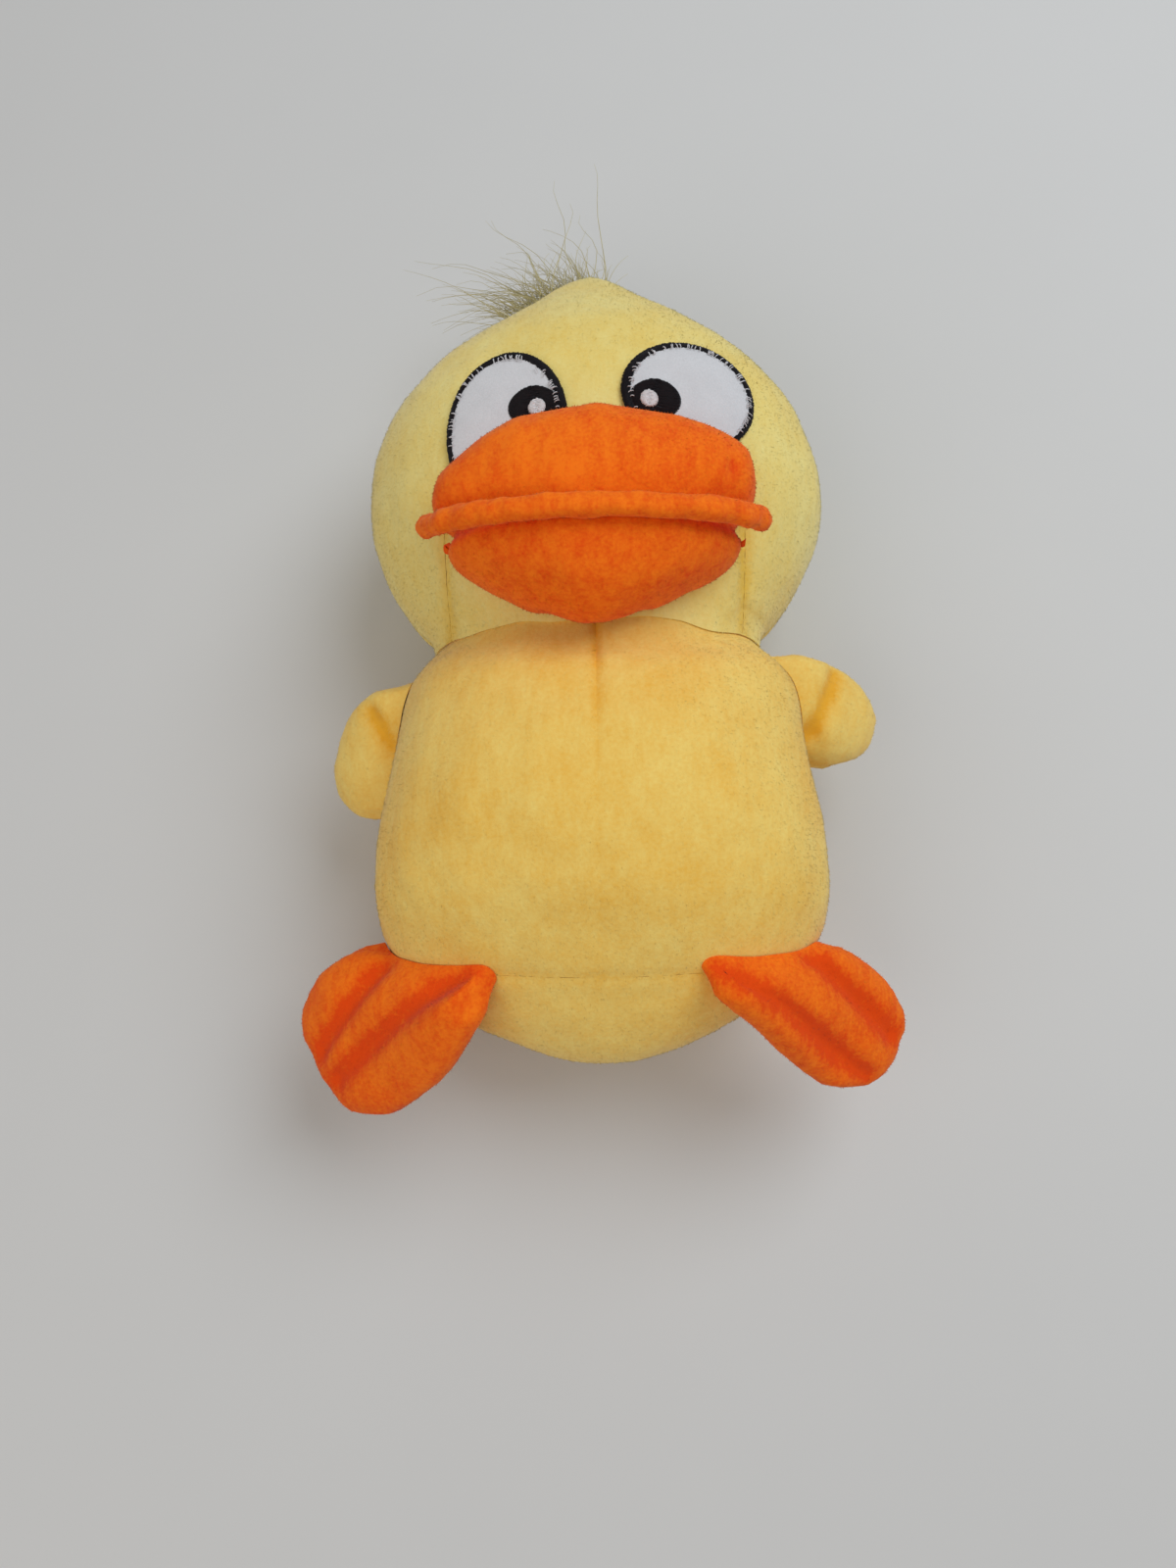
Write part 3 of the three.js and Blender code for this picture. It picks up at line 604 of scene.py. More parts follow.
class Finish:
    """A material made of nodes round one shader."""

    def __init__(self, name):
        self.material = bpy.data.materials.new(name)
        self.material.use_nodes = True
        self.tree = self.material.node_tree
        self.shader = self.tree.nodes["Principled BSDF"]

    def add(self, kind, settings=None, sockets=None, output=0):
        node = self.tree.nodes.new(kind)
        for name, value in (settings or {}).items():
            setattr(node, name, value)
        for key, value in (sockets or {}).items():
            self.join(value, node.inputs[key])
        return Value(self, node.outputs[output])

    def join(self, value, socket):
        if isinstance(value, Value):
            self.tree.links.new(value.socket, socket)
        else:
            socket.default_value = value

    def set(self, **sockets):
        """Sets or links the shader's own sockets, named with _ for a space."""
        for name, value in sockets.items():
            self.join(value, self.shader.inputs[name.replace("_", " ")])

    def place(self, scale=(1, 1, 1)):
        where = self.add("ShaderNodeTexCoord", output="Object")
        if scale == (1, 1, 1):
            return where
        return self.add("ShaderNodeMapping", {}, {"Vector": where, "Scale": scale})

    def grain(self, size, detail=2.0, roughness=0.55, scale=(1, 1, 1)):
        """Soft noise from 0 to 1 whose features are about size across, in metres."""
        return self.add(
            "ShaderNodeTexNoise",
            {},
            {"Vector": self.place(scale), "Scale": 1 / size, "Detail": detail, "Roughness": roughness},
        )

    def attribute(self, name):
        return self.add("ShaderNodeAttribute", {"attribute_name": name}, output="Fac")

    def blend(self, share, low, high):
        return self.add("ShaderNodeMix", {"data_type": "RGBA"}, {0: share, 6: low, 7: high}, output=2)

    def bump(self, height, strength, distance):
        return self.add(
            "ShaderNodeBump", {}, {"Height": height, "Strength": strength, "Distance": distance}
        )


def opaque(colour):
    return (*colour, 1.0)


def plush(name, tip_colour, shade_and_mottle_colour, mottling, sheen):
    """Short dense pile between a pale and a deep colour: random patches, streaks along the nap and specks,
    with painted shade that deepens its roots, the cloth between tufts and its seams and creases.
    """
    finish = Finish(name)
    patches = finish.grain(24 * MM, 2)
    streaks = finish.grain(2.6 * MM, 3, scale=(1, 0.35, 1))
    specks = finish.grain(0.9 * MM, 2)
    valley = finish.attribute("valley")
    # Painted shade: the valley attribute deepens the colour in seams and creases. The patches, streaks and
    # specks are random tone.
    depth = valley * 0.55 + (patches - 0.5) * 0.9 + ((streaks - 0.5) * 1.6 + (specks - 0.5) * 1.4) * mottling
    # Painted shade: the offset deepens the tufts' roots and the cloth between them, and the tufts' tips less.
    depth = (depth + 0.35 - finish.attribute("tip") * 0.3).limited()
    finish.set(
        Base_Color=finish.blend(depth, opaque(tip_colour), opaque(shade_and_mottle_colour)),
        Roughness=0.85,
        Sheen_Weight=sheen,
        Sheen_Roughness=0.5,
        Specular_IOR_Level=0.15,
        Normal=finish.bump(specks + streaks * 0.6, 0.35, 0.3 * MM),
    )
    return finish.material


def felt(name, colour):
    """Fine white brushed cloth with short fibres."""
    finish = Finish(name)
    specks = finish.grain(0.5 * MM, 3, 0.7)
    clouds = finish.grain(6 * MM, 2)
    shade = ((specks - 0.5) * 0.9 + (clouds - 0.5) * 0.5 + 0.3).limited()
    darker = tuple(0.74 * part for part in colour)
    finish.set(
        Base_Color=finish.blend(shade, opaque(colour), opaque(darker)),
        Roughness=0.95,
        Sheen_Weight=0.2,
        Specular_IOR_Level=0.2,
        Normal=finish.bump(specks, 0.5, 0.25 * MM),
    )
    return finish.material


def thread(name, colour, paler):
    """Embroidery thread with a soft gloss that breaks up along it."""
    finish = Finish(name)
    grain = finish.grain(0.35 * MM, 2)
    finish.set(
        Base_Color=finish.blend((grain * 1.4 - 0.3).limited(), opaque(colour), opaque(paler)),
        Roughness=grain * 0.3 + 0.45,
        Specular_IOR_Level=0.25,
        Normal=finish.bump(grain, 0.3, 0.1 * MM),
    )
    return finish.material


def strands_finish(name, colour):
    """Fine hair, deeper in places. It would be paler towards its tips where a tip attribute is set, and the
    hair's threads carry none.
    """
    finish = Finish(name)
    along = finish.attribute("tip")
    grain = finish.grain(3 * MM, 2)
    darker = tuple(0.55 * part for part in colour)
    finish.set(
        Base_Color=finish.blend((grain * 1.2 - 0.1 - along * 0.3).limited(), opaque(colour), opaque(darker)),
        Roughness=grain * 0.25 + 0.4,
        Sheen_Weight=0.2,
    )
    return finish.material


def wadding(name, colour):
    """Loose white fibre in wisps."""
    finish = Finish(name)
    wisps = finish.grain(1.4 * MM, 4, 0.7, scale=(1, 0.3, 1))
    darker = tuple(0.7 * part for part in colour)
    finish.set(
        Base_Color=finish.blend(wisps, opaque(darker), opaque(colour)),
        Roughness=0.95,
        Sheen_Weight=0.3,
        Normal=finish.bump(wisps, 0.8, 0.8 * MM),
    )
    return finish.material


def pale_floor(name, colour):
    """A plain pale floor with very faint clouds."""
    finish = Finish(name)
    clouds = finish.grain(120 * MM, 3)
    paler = tuple(min(1, 1.05 * part) for part in colour)
    finish.set(Base_Color=finish.blend(clouds, opaque(colour), opaque(paler)), Roughness=0.7)
    return finish.material


def material(name):
    """The material of that name, made when it is first asked for."""
    colours = bpy.context.scene.duck_colours
    makers = {
        "yellow pile": lambda: plush(name, colours.yellow, colours.deep_yellow, 0.45, 0.2),
        # Painted light: the head's copy of the yellow pile, paler and greener for the cool light on it.
        "lit pale yellow pile": lambda: plush(name, colours.lit_pale_yellow, colours.lit_pale_roots, 0.35, 0.25),
        "orange pile": lambda: plush(name, colours.orange, colours.deep_orange, 0.9, 0.06),
        "white felt": lambda: felt(name, colours.white),
        "black thread": lambda: thread(name, colours.black, (0.018, 0.016, 0.021)),
        "white thread": lambda: thread(name, colours.white, (0.9, 0.9, 0.92)),
        "hair": lambda: strands_finish(name, colours.hair),
        "fibre": lambda: wadding(name, colours.fibre),
        "floor": lambda: pale_floor(name, colours.floor),
    }
    return bpy.data.materials.get(name) or makers[name]()


# Torso

surfaces = {}


def remember_surface(name, obj):
    """Keeps a skin's surface, which later pieces are sewn to."""
    places = [Vector(place) for place in coordinates(obj)]
    surfaces[name] = BVHTree.FromPolygons(places, [tuple(face.vertices) for face in obj.data.polygons])


def constant_nap(direction):
    return lambda places: np.tile(np.array(direction, float), (len(places), 1))


def draw_out(skin, direction, length, steps, taper):
    """Extrudes the open edge of a skin in a direction, in steps that get a little narrower."""
    step = tuple(direction * (length / steps))
    with editing(skin, "DESELECT"):
        bpy.ops.mesh.select_mode(type="EDGE")
        bpy.ops.mesh.select_non_manifold(
            extend=False, use_wire=False, use_multi_face=False, use_non_contiguous=False
        )
        for _ in range(steps):
            bpy.ops.mesh.extrude_edges_move(TRANSFORM_OT_translate={"value": step})
            bpy.ops.transform.resize(value=(taper, taper, taper))
        bpy.ops.mesh.select_all(action="SELECT")
        bpy.ops.mesh.normals_make_consistent(inside=False)


def heights_over(tree, places):
    """Height of each place over a surface, and the nearest place and normal there."""
    found = [tree.find_nearest(Vector(place)) for place in places]
    near = np.array([hit[0] for hit in found])
    normal = np.array([hit[1] for hit in found])
    return np.einsum("ij,ij->i", places - near, normal), near, normal


def eased(obj, values, passes, moving=None):
    """Values at a mesh's vertices, evened out with those beside them; only the moving ones change."""
    ends = read_indices(obj.data.edges, "vertices", 2)
    count = np.bincount(ends.ravel(), minlength=len(values)).astype(float)
    count = count.reshape(-1, *[1] * (values.ndim - 1))
    values = values.copy()
    if moving is None:
        moving = np.ones(len(values), bool)
    for _ in range(passes):
        total = np.zeros_like(values)
        np.add.at(total, ends[:, 0], values[ends[:, 1]])
        np.add.at(total, ends[:, 1], values[ends[:, 0]])
        values[moving] += ((total / count)[moving] - values[moving]) * 0.5
    return values


# Where a skin ends on the torso, in millimetres: the height a closed end is given, the range of heights that
# are evened out, and how far from the torso the skin follows its edge
ENDED = -1.5
HEIGHT_RANGE = (-2, 4)
FOLLOWS_EDGE = 5
FOLLOW_PASSES = 30


def end_on_torso(skin, clear, cap, passes, evening):
    """Opens a skin where it meets the torso, its edge on it. cap is how far off a closed end may be."""
    height, _, normal = heights_over(surfaces["torso"], coordinates(skin))
    turned_in = np.einsum("ij,ij->i", normals(skin), normal) < -0.3
    height[(height < cap) & turned_in] = ENDED * MM
    height = eased(skin, np.clip(height, HEIGHT_RANGE[0] * MM, HEIGHT_RANGE[1] * MM), passes)
    kept = np.array([height[list(face.vertices)].max() > clear for face in skin.data.polygons])
    keep_faces(skin, kept)
    even_edge(skin, clear, evening)


def edge_neighbours(obj):
    """The vertices of an open edge, and the two beside each of them."""
    graph = bmesh.new()
    graph.from_mesh(obj.data)
    beside = {}
    for vertex in graph.verts:
        others = [edge.other_vert(vertex).index for edge in vertex.link_edges if edge.is_boundary]
        if len(others) > 1:
            beside[vertex.index] = others[:2]
    graph.free()
    return np.array(list(beside)), np.array(list(beside.values()))


def even_edge(skin, clear, passes):
    """Evens out the open edge of a skin near the torso and lays it on the torso's surface."""
    on_edge, beside = edge_neighbours(skin)
    places = coordinates(skin)
    for _ in range(passes):
        places[on_edge] += (places[beside].mean(1) - places[on_edge]) * 0.5
    places = lay_on_torso(places, on_edge, clear)
    loose = heights_over(surfaces["torso"], places)[0] < FOLLOWS_EDGE * MM
    loose[on_edge] = False
    set_coordinates(skin, lay_on_torso(eased(skin, places, FOLLOW_PASSES, loose), on_edge, clear))


def lay_on_torso(places, on_edge, clear):
    """Lifts what has sunk into the torso out of it, and lays the vertices of an open edge on it."""
    height, near, normal = heights_over(surfaces["torso"], places)
    laid = height < clear
    laid[on_edge] = True
    moved = places.copy()
    moved[laid] = near[laid] + normal[laid] * clear
    return moved


# Millimetres along the neck up to which the torso's skin, and from which the head's, is free to puff out
TORSO_NECK_FREE = 1
HEAD_NECK_FREE = 8

# The shoulders, in millimetres: where the push starts and is whole, the height it is at and how far it
# spreads, and the push on the duck's left and on its right
SHOULDER_START, SHOULDER_WHOLE = 26, 18
SHOULDER_Y, SHOULDER_SPREAD = 27, 11
SHOULDER_PUSH_LEFT, SHOULDER_PUSH_RIGHT = 2.6, -0.8

# Lumps of the filling: size and height in millimetres, and seed
TORSO_LUMPS = ((24, 0.7, 1), (7, 0.22, 2))
HEAD_LUMPS = ((26, 0.8, 3), (7, 0.22, 4))
BEAK_LUMPS = ((16, 0.9, 5), (5, 0.25, 6))
LIP_LUMPS = ((4, 0.5, 7),)
FIBRE_LUMPS = ((6, -0.8, 60),)

# A distance that no seam reaches
FAR = 1.0


def torso_held(places):
    seams = np.minimum(np.abs(places[:, 2] - TORSO_SIDE_SEAM * MM), np.abs(above_base(places)))
    front = np.where(places[:, 2] > TORSO_SIDE_SEAM * MM, np.abs(places[:, 0]), FAR)
    neck = np.maximum(0, TORSO_NECK_FREE * MM - along_neck(places))
    return np.minimum.reduce([seams, front, places[:, 2], neck])


def shoulders(places):
    """The filling pushes the shoulders out, the duck's left one more."""
    x, y = places[:, 0], places[:, 1]
    share = ramp(np.abs(x) - SHOULDER_START * MM, SHOULDER_WHOLE) * hump(y - SHOULDER_Y * MM, SHOULDER_SPREAD)
    moved = places.copy()
    moved[:, 0] += share * np.where(x > 0, SHOULDER_PUSH_LEFT * MM, SHOULDER_PUSH_RIGHT * MM)
    return moved


class DUCK_OT_torso(bpy.types.Operator):
    """Makes the four covers of the torso: two halves of the belly, the back and the base."""

    bl_idname = "duck.torso"
    bl_label = "Torso covers"

    def execute(self, context):
        sizes = context.scene.duck_sizes
        nodes = ["belly_panel_left", "belly_panel_right", "back_panel", "base_panel", "torso_filling"]
        skin = skin_of("torso_skin", nodes, sizes.body_voxel, sizes.puff, torso_held, 2)
        set_coordinates(skin, shoulders(coordinates(skin)))
        roughen(skin, TORSO_LUMPS)

        def belly(p):
            return (p[:, 2] > TORSO_SIDE_SEAM * MM) & (above_base(p) > 0)

        def covered(p):
            along = along_neck(p)
            in_plug = (from_neck_axis(p) < TORSO_PLUG_RADIUS * MM) & (along > TORSO_PLUG_ENDS[0] * MM)
            in_plug &= along < TORSO_PLUG_ENDS[1] * MM
            on_side = in_slit(p[:, 2] - TORSO_SIDE_SEAM * MM) & (above_base(p) > 0)
            on_middle = in_slit(p[:, 0]) & belly(p)
            return ~(in_plug | on_side | in_slit(above_base(p)) | on_middle)

        def back(p):
            return (p[:, 2] < TORSO_SIDE_SEAM * MM) & (above_base(p) > 0)

        places = coordinates(skin)
        side = np.where(above_base(places) > 0, np.abs(places[:, 2] - TORSO_SIDE_SEAM * MM), FAR)
        press(skin, side, sizes.seam_depth, sizes.seam_width)
        press(skin, np.abs(above_base(places)), 0.3 * sizes.seam_depth, sizes.seam_width)
        middle = np.where(belly(places), np.abs(places[:, 0]), FAR)
        to_throat = ramp(places[:, 1] + 20 * MM, 55) ** 2
        press(skin, middle, (0.12 + 1.1 * to_throat) * sizes.seam_depth, 0.7 * sizes.seam_width)
        remember_surface("torso", skin)
        panels = [
            ("belly_cover_left", "belly_panel_left", lambda p: belly(p) & covered(p) & (p[:, 0] > 0)),
            ("belly_cover_right", "belly_panel_right", lambda p: belly(p) & covered(p) & (p[:, 0] < 0)),
            ("back_cover", "back_panel", lambda p: back(p) & covered(p)),
            ("base_cover", "base_panel", lambda p: (above_base(p) < 0) & covered(p)),
        ]
        planes = [
            ((0, 0, TORSO_SIDE_SEAM), (0, 0, 1)),
            (BASE_SEAM_PLACE, BASE_SEAM_UP),
            ((0, 0, 0), (1, 0, 0)),
        ]
        yellow = material("yellow pile")
        sew(skin, planes, panels, "torso", yellow, constant_nap(DOWN_BODY), 10)
        return {"FINISHED"}


# Head


# The top of the head, in millimetres: where it starts to rise, over what length, how high and how wide
CROWN_START, CROWN_LENGTH = 118, 34
CROWN_LIFT, CROWN_WIDTH = 5.0, 20

# The head's skin at the neck: how far its edge is drawn out, in how many steps, and how much each narrows
COLLAR_LENGTH, COLLAR_STEPS, COLLAR_TAPER = 15, 8, 0.993
NECK_BALL_INWARD = 1.35


def head_held(places):
    seams = np.abs(places[:, 2] - HEAD_SIDE_SEAM * MM)
    behind = np.where(places[:, 2] < HEAD_SIDE_SEAM * MM, np.abs(places[:, 0]), FAR)
    neck = np.maximum(0, along_neck(places) - HEAD_NECK_FREE * MM)
    return np.minimum.reduce([seams, behind, places[:, 2], neck])


def crown(places):
    """The top of the head is drawn up to a blunt point, where the hair is sewn in."""
    share = ramp(places[:, 1] - CROWN_START * MM, CROWN_LENGTH) ** 2
    moved = places.copy()
    moved[:, 1] += CROWN_LIFT * MM * share * hump(places[:, 0], CROWN_WIDTH)
    return moved


def close_neck(skin):
    """Opens the head's skin at the neck and draws its edge down to the torso."""
    pivot = np.array(NECK_PIVOT) * MM
    side = np.cross((1, 0, 0), NECK_AXIS)
    cut = tuple((pivot / MM) + NECK_AXIS * NECK_CUT_ALONG)
    planes = [(cut, tuple(NECK_AXIS + side * slope)) for slope in (NECK_CUT_SLOPE, -NECK_CUT_SLOPE)]
    cut_along(skin, planes, 0)
    middles = face_middles(skin)
    offset = middles - pivot
    along, aside = offset @ NECK_AXIS, offset @ side
    below = along - NECK_CUT_SLOPE * np.abs(aside) < NECK_CUT_ALONG * MM
    across = (offset[:, 0] / NECK_HALF_WIDTH / MM) ** 2
    ball = across + (along**2 + aside**2) / (NECK_RADIUS * MM) ** 2
    inward = np.einsum("ij,ij->i", face_directions(skin), offset) < 0
    plug = (from_neck_axis(middles) < HEAD_PLUG_RADIUS * MM) & (along < HEAD_PLUG_END * MM)
    keep_faces(skin, ~(below | plug | (ball < 1.0) | ((ball < NECK_BALL_INWARD) & inward)))
    draw_out(skin, -NECK_AXIS, COLLAR_LENGTH * MM, COLLAR_STEPS, COLLAR_TAPER)


class DUCK_OT_head(bpy.types.Operator):
    """Makes the four covers of the head: face, chin and two halves of the back."""

    bl_idname = "duck.head"
    bl_label = "Head covers"

    def execute(self, context):
        sizes = context.scene.duck_sizes
        nodes = ["face_panel", "chin_panel", "head_back_panel_left", "head_back_panel_right", "head_filling"]
        skin = skin_of("head_skin", nodes, sizes.body_voxel, sizes.puff, head_held, 2)
        close_neck(skin)
        set_coordinates(skin, crown(coordinates(skin)))
        roughen(skin, HEAD_LUMPS)

        def front(p):
            return p[:, 2] > HEAD_SIDE_SEAM * MM

        def in_chin(p):
            return (np.abs(p[:, 0]) < CHIN_HALF_WIDTH * MM) & (p[:, 1] < CHIN_TOP * MM)

        def covered(p):
            beside, over = np.abs(p[:, 0]) - CHIN_HALF_WIDTH * MM, p[:, 1] - CHIN_TOP * MM
            on_chin = (in_slit(beside) & (over < 0)) | (in_slit(over) & (beside < 0))
            on_rear = in_slit(p[:, 0]) & ~front(p)
            return ~(in_slit(p[:, 2] - HEAD_SIDE_SEAM * MM) | on_rear | (on_chin & front(p)))

        places = coordinates(skin)
        press(skin, np.abs(places[:, 2] - HEAD_SIDE_SEAM * MM), sizes.seam_depth, sizes.seam_width)
        behind = np.where(places[:, 2] < HEAD_SIDE_SEAM * MM, np.abs(places[:, 0]), FAR)
        press(skin, behind, sizes.seam_depth, sizes.seam_width)
        at_chin = front(places) & (places[:, 1] < CHIN_TOP * MM)
        chin = np.where(at_chin, np.abs(np.abs(places[:, 0]) - CHIN_HALF_WIDTH * MM), FAR)
        press(skin, chin, 0.9 * sizes.seam_depth, sizes.seam_width)
        end_on_torso(skin, 0.5 * MM, 0, 2, 60)
        remember_surface("head", skin)
        panels = [
            ("face_cover", "face_panel", lambda p: front(p) & covered(p) & ~in_chin(p)),
            ("chin_cover", "chin_panel", lambda p: front(p) & covered(p) & in_chin(p)),
        ]
        for name, side in (("left", 1), ("right", -1)):
            panels.append((
                f"head_back_cover_{name}",
                f"head_back_panel_{name}",
                lambda p, side=side: ~front(p) & covered(p) & (p[:, 0] * side > 0),
            ))
        planes = [
            ((0, 0, HEAD_SIDE_SEAM), (0, 0, 1)),
            ((0, 0, 0), (1, 0, 0)),
            ((CHIN_HALF_WIDTH, 0, 0), (1, 0, 0)),
            ((-CHIN_HALF_WIDTH, 0, 0), (1, 0, 0)),
            ((0, CHIN_TOP, 0), (0, 1, 0)),
        ]
        pivot = np.array(NECK_PIVOT) * MM
        crossing = ("neck", "head", *(tuple(pivot + NECK_AXIS * along * MM) for along in NECK_BLEND))
        # The head's pile is painted paler and greener for the cool light that falls on it.
        yellow = material("lit pale yellow pile")
        sew(skin, planes, panels, crossing, yellow, constant_nap(DOWN_BODY), 20, under_eyes)
        return {"FINISHED"}


# Beak


# The beak, in millimetres: how far it reaches below and above its split, and what the filling does to it
BEAK_FREE_FROM = 80
BEAK_DOWN, BEAK_UP = 20, 31
BEAK_TAPER, BEAK_TIP_TAPER = 0.05, 0.38
BEAK_TIP_DROP, BEAK_TIP_WIDTH = 3.2, 16
BEAK_SIDE_START, BEAK_SIDE_WIDTH = 16, 24
BEAK_SIDE_DROP, BEAK_SIDE_BACK = 6.5, 2.5
BEAK_PEAK_X, BEAK_PEAK_WIDTH, BEAK_PEAK_RISE = 1.6, 5, 1.8
BEAK_CREASES = [((33.7, 67.4, 99), (34.2, 62, 100), (34.7, 57.0, 99))]
LIP_STRETCH, LIP_HALF_LENGTH = 1.15, 40
LIP_RISE, LIP_DROP = 2.0, 0.6


def beak_held(places):
    return np.where(places[:, 2] < BEAK_FREE_FROM * MM, 0.0, FAR)


def shape_beak(places):
    """The lower half tapers to a soft point; the upper slopes off on the duck's right and has a peak."""
    x, y = places[:, 0], places[:, 1]
    down = ramp(BEAK_SPLIT * MM - y, BEAK_DOWN)
    up = ramp(y - BEAK_SPLIT * MM, BEAK_UP)
    slope = softened(ramp(-x - BEAK_SIDE_START * MM, BEAK_SIDE_WIDTH))
    moved = places.copy()
    moved[:, 0] = x * (1 - BEAK_TAPER * down - BEAK_TIP_TAPER * down**3)
    moved[:, 1] = y - BEAK_TIP_DROP * MM * down**2 * hump(x, BEAK_TIP_WIDTH)
    moved[:, 1] -= BEAK_SIDE_DROP * MM * slope * up
    moved[:, 1] += BEAK_PEAK_RISE * MM * up**4 * hump(x - BEAK_PEAK_X * MM, BEAK_PEAK_WIDTH)
    moved[:, 2] -= BEAK_SIDE_BACK * MM * slope * up
    return moved


def shape_lip(places):
    """The lip rises a little more in the middle than at its ends."""
    moved = places.copy()
    moved[:, 1] = (moved[:, 1] - BEAK_SPLIT * MM) * LIP_STRETCH + BEAK_SPLIT * MM
    to_end = np.clip(places[:, 0] / (LIP_HALF_LENGTH * MM), -1, 1)
    moved[:, 1] += LIP_RISE * MM * (1 - to_end**2) - LIP_DROP * MM
    return moved


class DUCK_OT_beak(bpy.types.Operator):
    """Makes the beak's upper and lower covers and the rolled lip between them."""

    bl_idname = "duck.beak"
    bl_label = "Beak"

    def execute(self, context):
        sizes = context.scene.duck_sizes
        nodes = ["beak_upper_cover", "beak_lower_cover", "beak_filling"]
        skin = skin_of("beak_skin", nodes, sizes.limb_voxel, 0.5 * sizes.puff, beak_held, 1)
        set_coordinates(skin, shape_beak(coordinates(skin)))
        roughen(skin, BEAK_LUMPS)
        places = coordinates(skin)
        press(skin, np.abs(places[:, 1] - BEAK_SPLIT * MM), sizes.seam_depth, 1.2 * sizes.seam_width)
        for line in BEAK_CREASES:
            press(skin, to_line(places, line), 1.2 * MM, 1.6 * MM)
        remember_surface("beak", skin)
        above, below = (BEAK_SPLIT + SEAM_HALF_GAP) * MM, (BEAK_SPLIT - SEAM_HALF_GAP) * MM
        panels = [
            ("beak_upper_cloth", "beak_upper_cover", lambda p: p[:, 1] > above),
            ("beak_lower_cloth", "beak_lower_cover", lambda p: p[:, 1] < below),
        ]
        nap = constant_nap((0.35, -0.9, 0.0))
        planes = [((0, BEAK_SPLIT, 0), (0, 1, 0))]
        sew(skin, planes, panels, "head", material("orange pile"), nap, 30)

        lip = merged_copy("beak_lip_roll", ["beak_lip"])
        apply_modifier(lip, "REMESH", mode="VOXEL", voxel_size=1.3 * MM)
        apply_modifier(lip, "SMOOTH", factor=0.5, iterations=4)
        apply_modifier(lip, "SUBSURF", levels=1, render_levels=1)
        set_coordinates(lip, shape_lip(coordinates(lip)))
        roughen(lip, LIP_LUMPS)
        pile = pile_on(lip, "beak_lip_roll_pile", constant_nap((1.0, 0.0, 0.0)), 39)
        finish_smooth(lip)
        for piece in (lip, pile):
            paint(piece, material("orange pile"))
        settle(lip, ["beak_lip"], "head")
        settle(pile, [], "head")
        return {"FINISHED"}


# Wings and feet


def facing_of(out, towards):
    """The direction square to a limb's length that its upper cover faces."""
    facing = towards - (towards @ out) * out
    facing /= np.linalg.norm(facing)
    return facing if facing[2] > 0 else -facing


def parting_of(nodes, facing):
    """How far along facing the plane between a limb's two covers lies."""
    upper, lower = (np.array([v.co for v in frame["nodes"][node].data.vertices]) @ facing for node in nodes)
    return (upper.min() + lower.max()) / 2


LIMB_LENGTH = 43 * MM
LIMB_BLEND = 12

# Millimetres from each limb's hinge to where its skin ends, out from the torso, and how far off the torso the
# side that faces it is still drawn in
ROOT_ENDS = {"left_wing": -8, "right_wing": -9, "left_foot": -4, "right_foot": -5}
INNER_SIDES = {"left_wing": 9, "right_wing": 7, "left_foot": 5, "right_foot": 5}

# The wings' tops, in millimetres: the height over which one is squeezed, how much that rises beside the
# torso, and how far the top beside the torso is lifted
WING_TOPS = {"right_wing": 24, "left_wing": 34}
WING_TOP_RISE = 12
WING_SQUEEZE = 0.45
WING_LIFTS = {"right_wing": 7, "left_wing": 0}

# The feet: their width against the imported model's, and how the outer and the inner corner of a root move
FOOT_WIDTHS = {"left_foot": 0.9, "right_foot": 1.18}
FOOT_ROOT_MOVES = {
    "left_foot": ((-1.5, -3.0, 1.0), (-8.0, 10.0, 15.0)),
    "right_foot": ((3.0, -4.0, -2.0), (5.5, 8.0, 12.0)),
}


class LimbFrame:
    """A limb's own directions: out from its seam, across it and towards what its upper cover faces."""

    def __init__(self, body, covers, out, upright):
        joint = next(joint for joint in frame["joints"] if joint["child"] == body)
        self.body = body
        self.nodes = [f"{body}_{cover}" for cover in covers]
        self.hinge = np.array(joint["pos_m"], float)
        self.out = np.array(out) / np.linalg.norm(out)
        up = np.array((0.0, 0.0, 1.0))
        square = facing_of(self.out, np.cross(np.array(joint["axis"], float), self.out))
        self.facing = facing_of(self.out, square * (1 - upright) + up * upright)
        self.across = np.cross(self.out, self.facing)
        self.parting = parting_of(self.nodes, self.facing)

    def along(self, places):
        return (places - self.hinge) @ self.out

    def aside(self, places):
        return (places - self.hinge) @ self.across

    def above(self, places):
        return places @ self.facing - self.parting

    def widened(self, places, width):
        """Places of the limb made wider or narrower, away from its seam."""
        share = ramp(self.along(places), 14)
        return places + self.across * (self.aside(places) * (width - 1) * share)[:, None]

    def toe_line(self, places, root, tip):
        """A stitched line across the foot's cover, given its offsets from the middle at both ends."""
        share = ramp(self.along(places), 42)
        aside = self.aside(places) - (root + (tip - root) * share) * MM
        above = self.above(places)
        on_top, below = np.minimum(2.2 * MM, 0.45 * above), np.minimum(0.8 * MM, -0.2 * above)
        depth = np.where(above > 0, on_top, below)
        depth *= ramp(LIMB_LENGTH - self.along(places), 6)
        depth *= ramp(heights_over(surfaces["torso"], places)[0], 4)
        return np.abs(aside), depth, 2.9 * MM


def squeezed_top(places, body):
    """A wing's top squeezed in at its root, and lifted beside the torso."""
    places = places.copy()
    beside = ramp(56 * MM - np.abs(places[:, 0]), 14)
    over = np.maximum(places[:, 1] - (WING_TOPS[body] + WING_TOP_RISE * beside) * MM, 0)
    places[:, 1] -= WING_SQUEEZE * over
    near_top = ramp(places[:, 1] - 8 * MM, 16)
    places[:, 1] += WING_LIFTS[body] * MM * beside * near_top
    return places


def seated_on_seam(places, limb):
    """Turns a foot's root so that its inner corner starts at the seam between the belly and the base."""
    outer, inner = (np.array(move) * MM for move in FOOT_ROOT_MOVES[limb.body])
    inwards = ramp(limb.aside(places) * np.sign(limb.out[0]) + 12 * MM, 30)[:, None]
    fading = softened(ramp(28 * MM - limb.along(places), 24)) * ramp(limb.above(places) + 14 * MM, 12)
    return places + (outer * (1 - inwards) + inner * inwards**2) * fading[:, None]


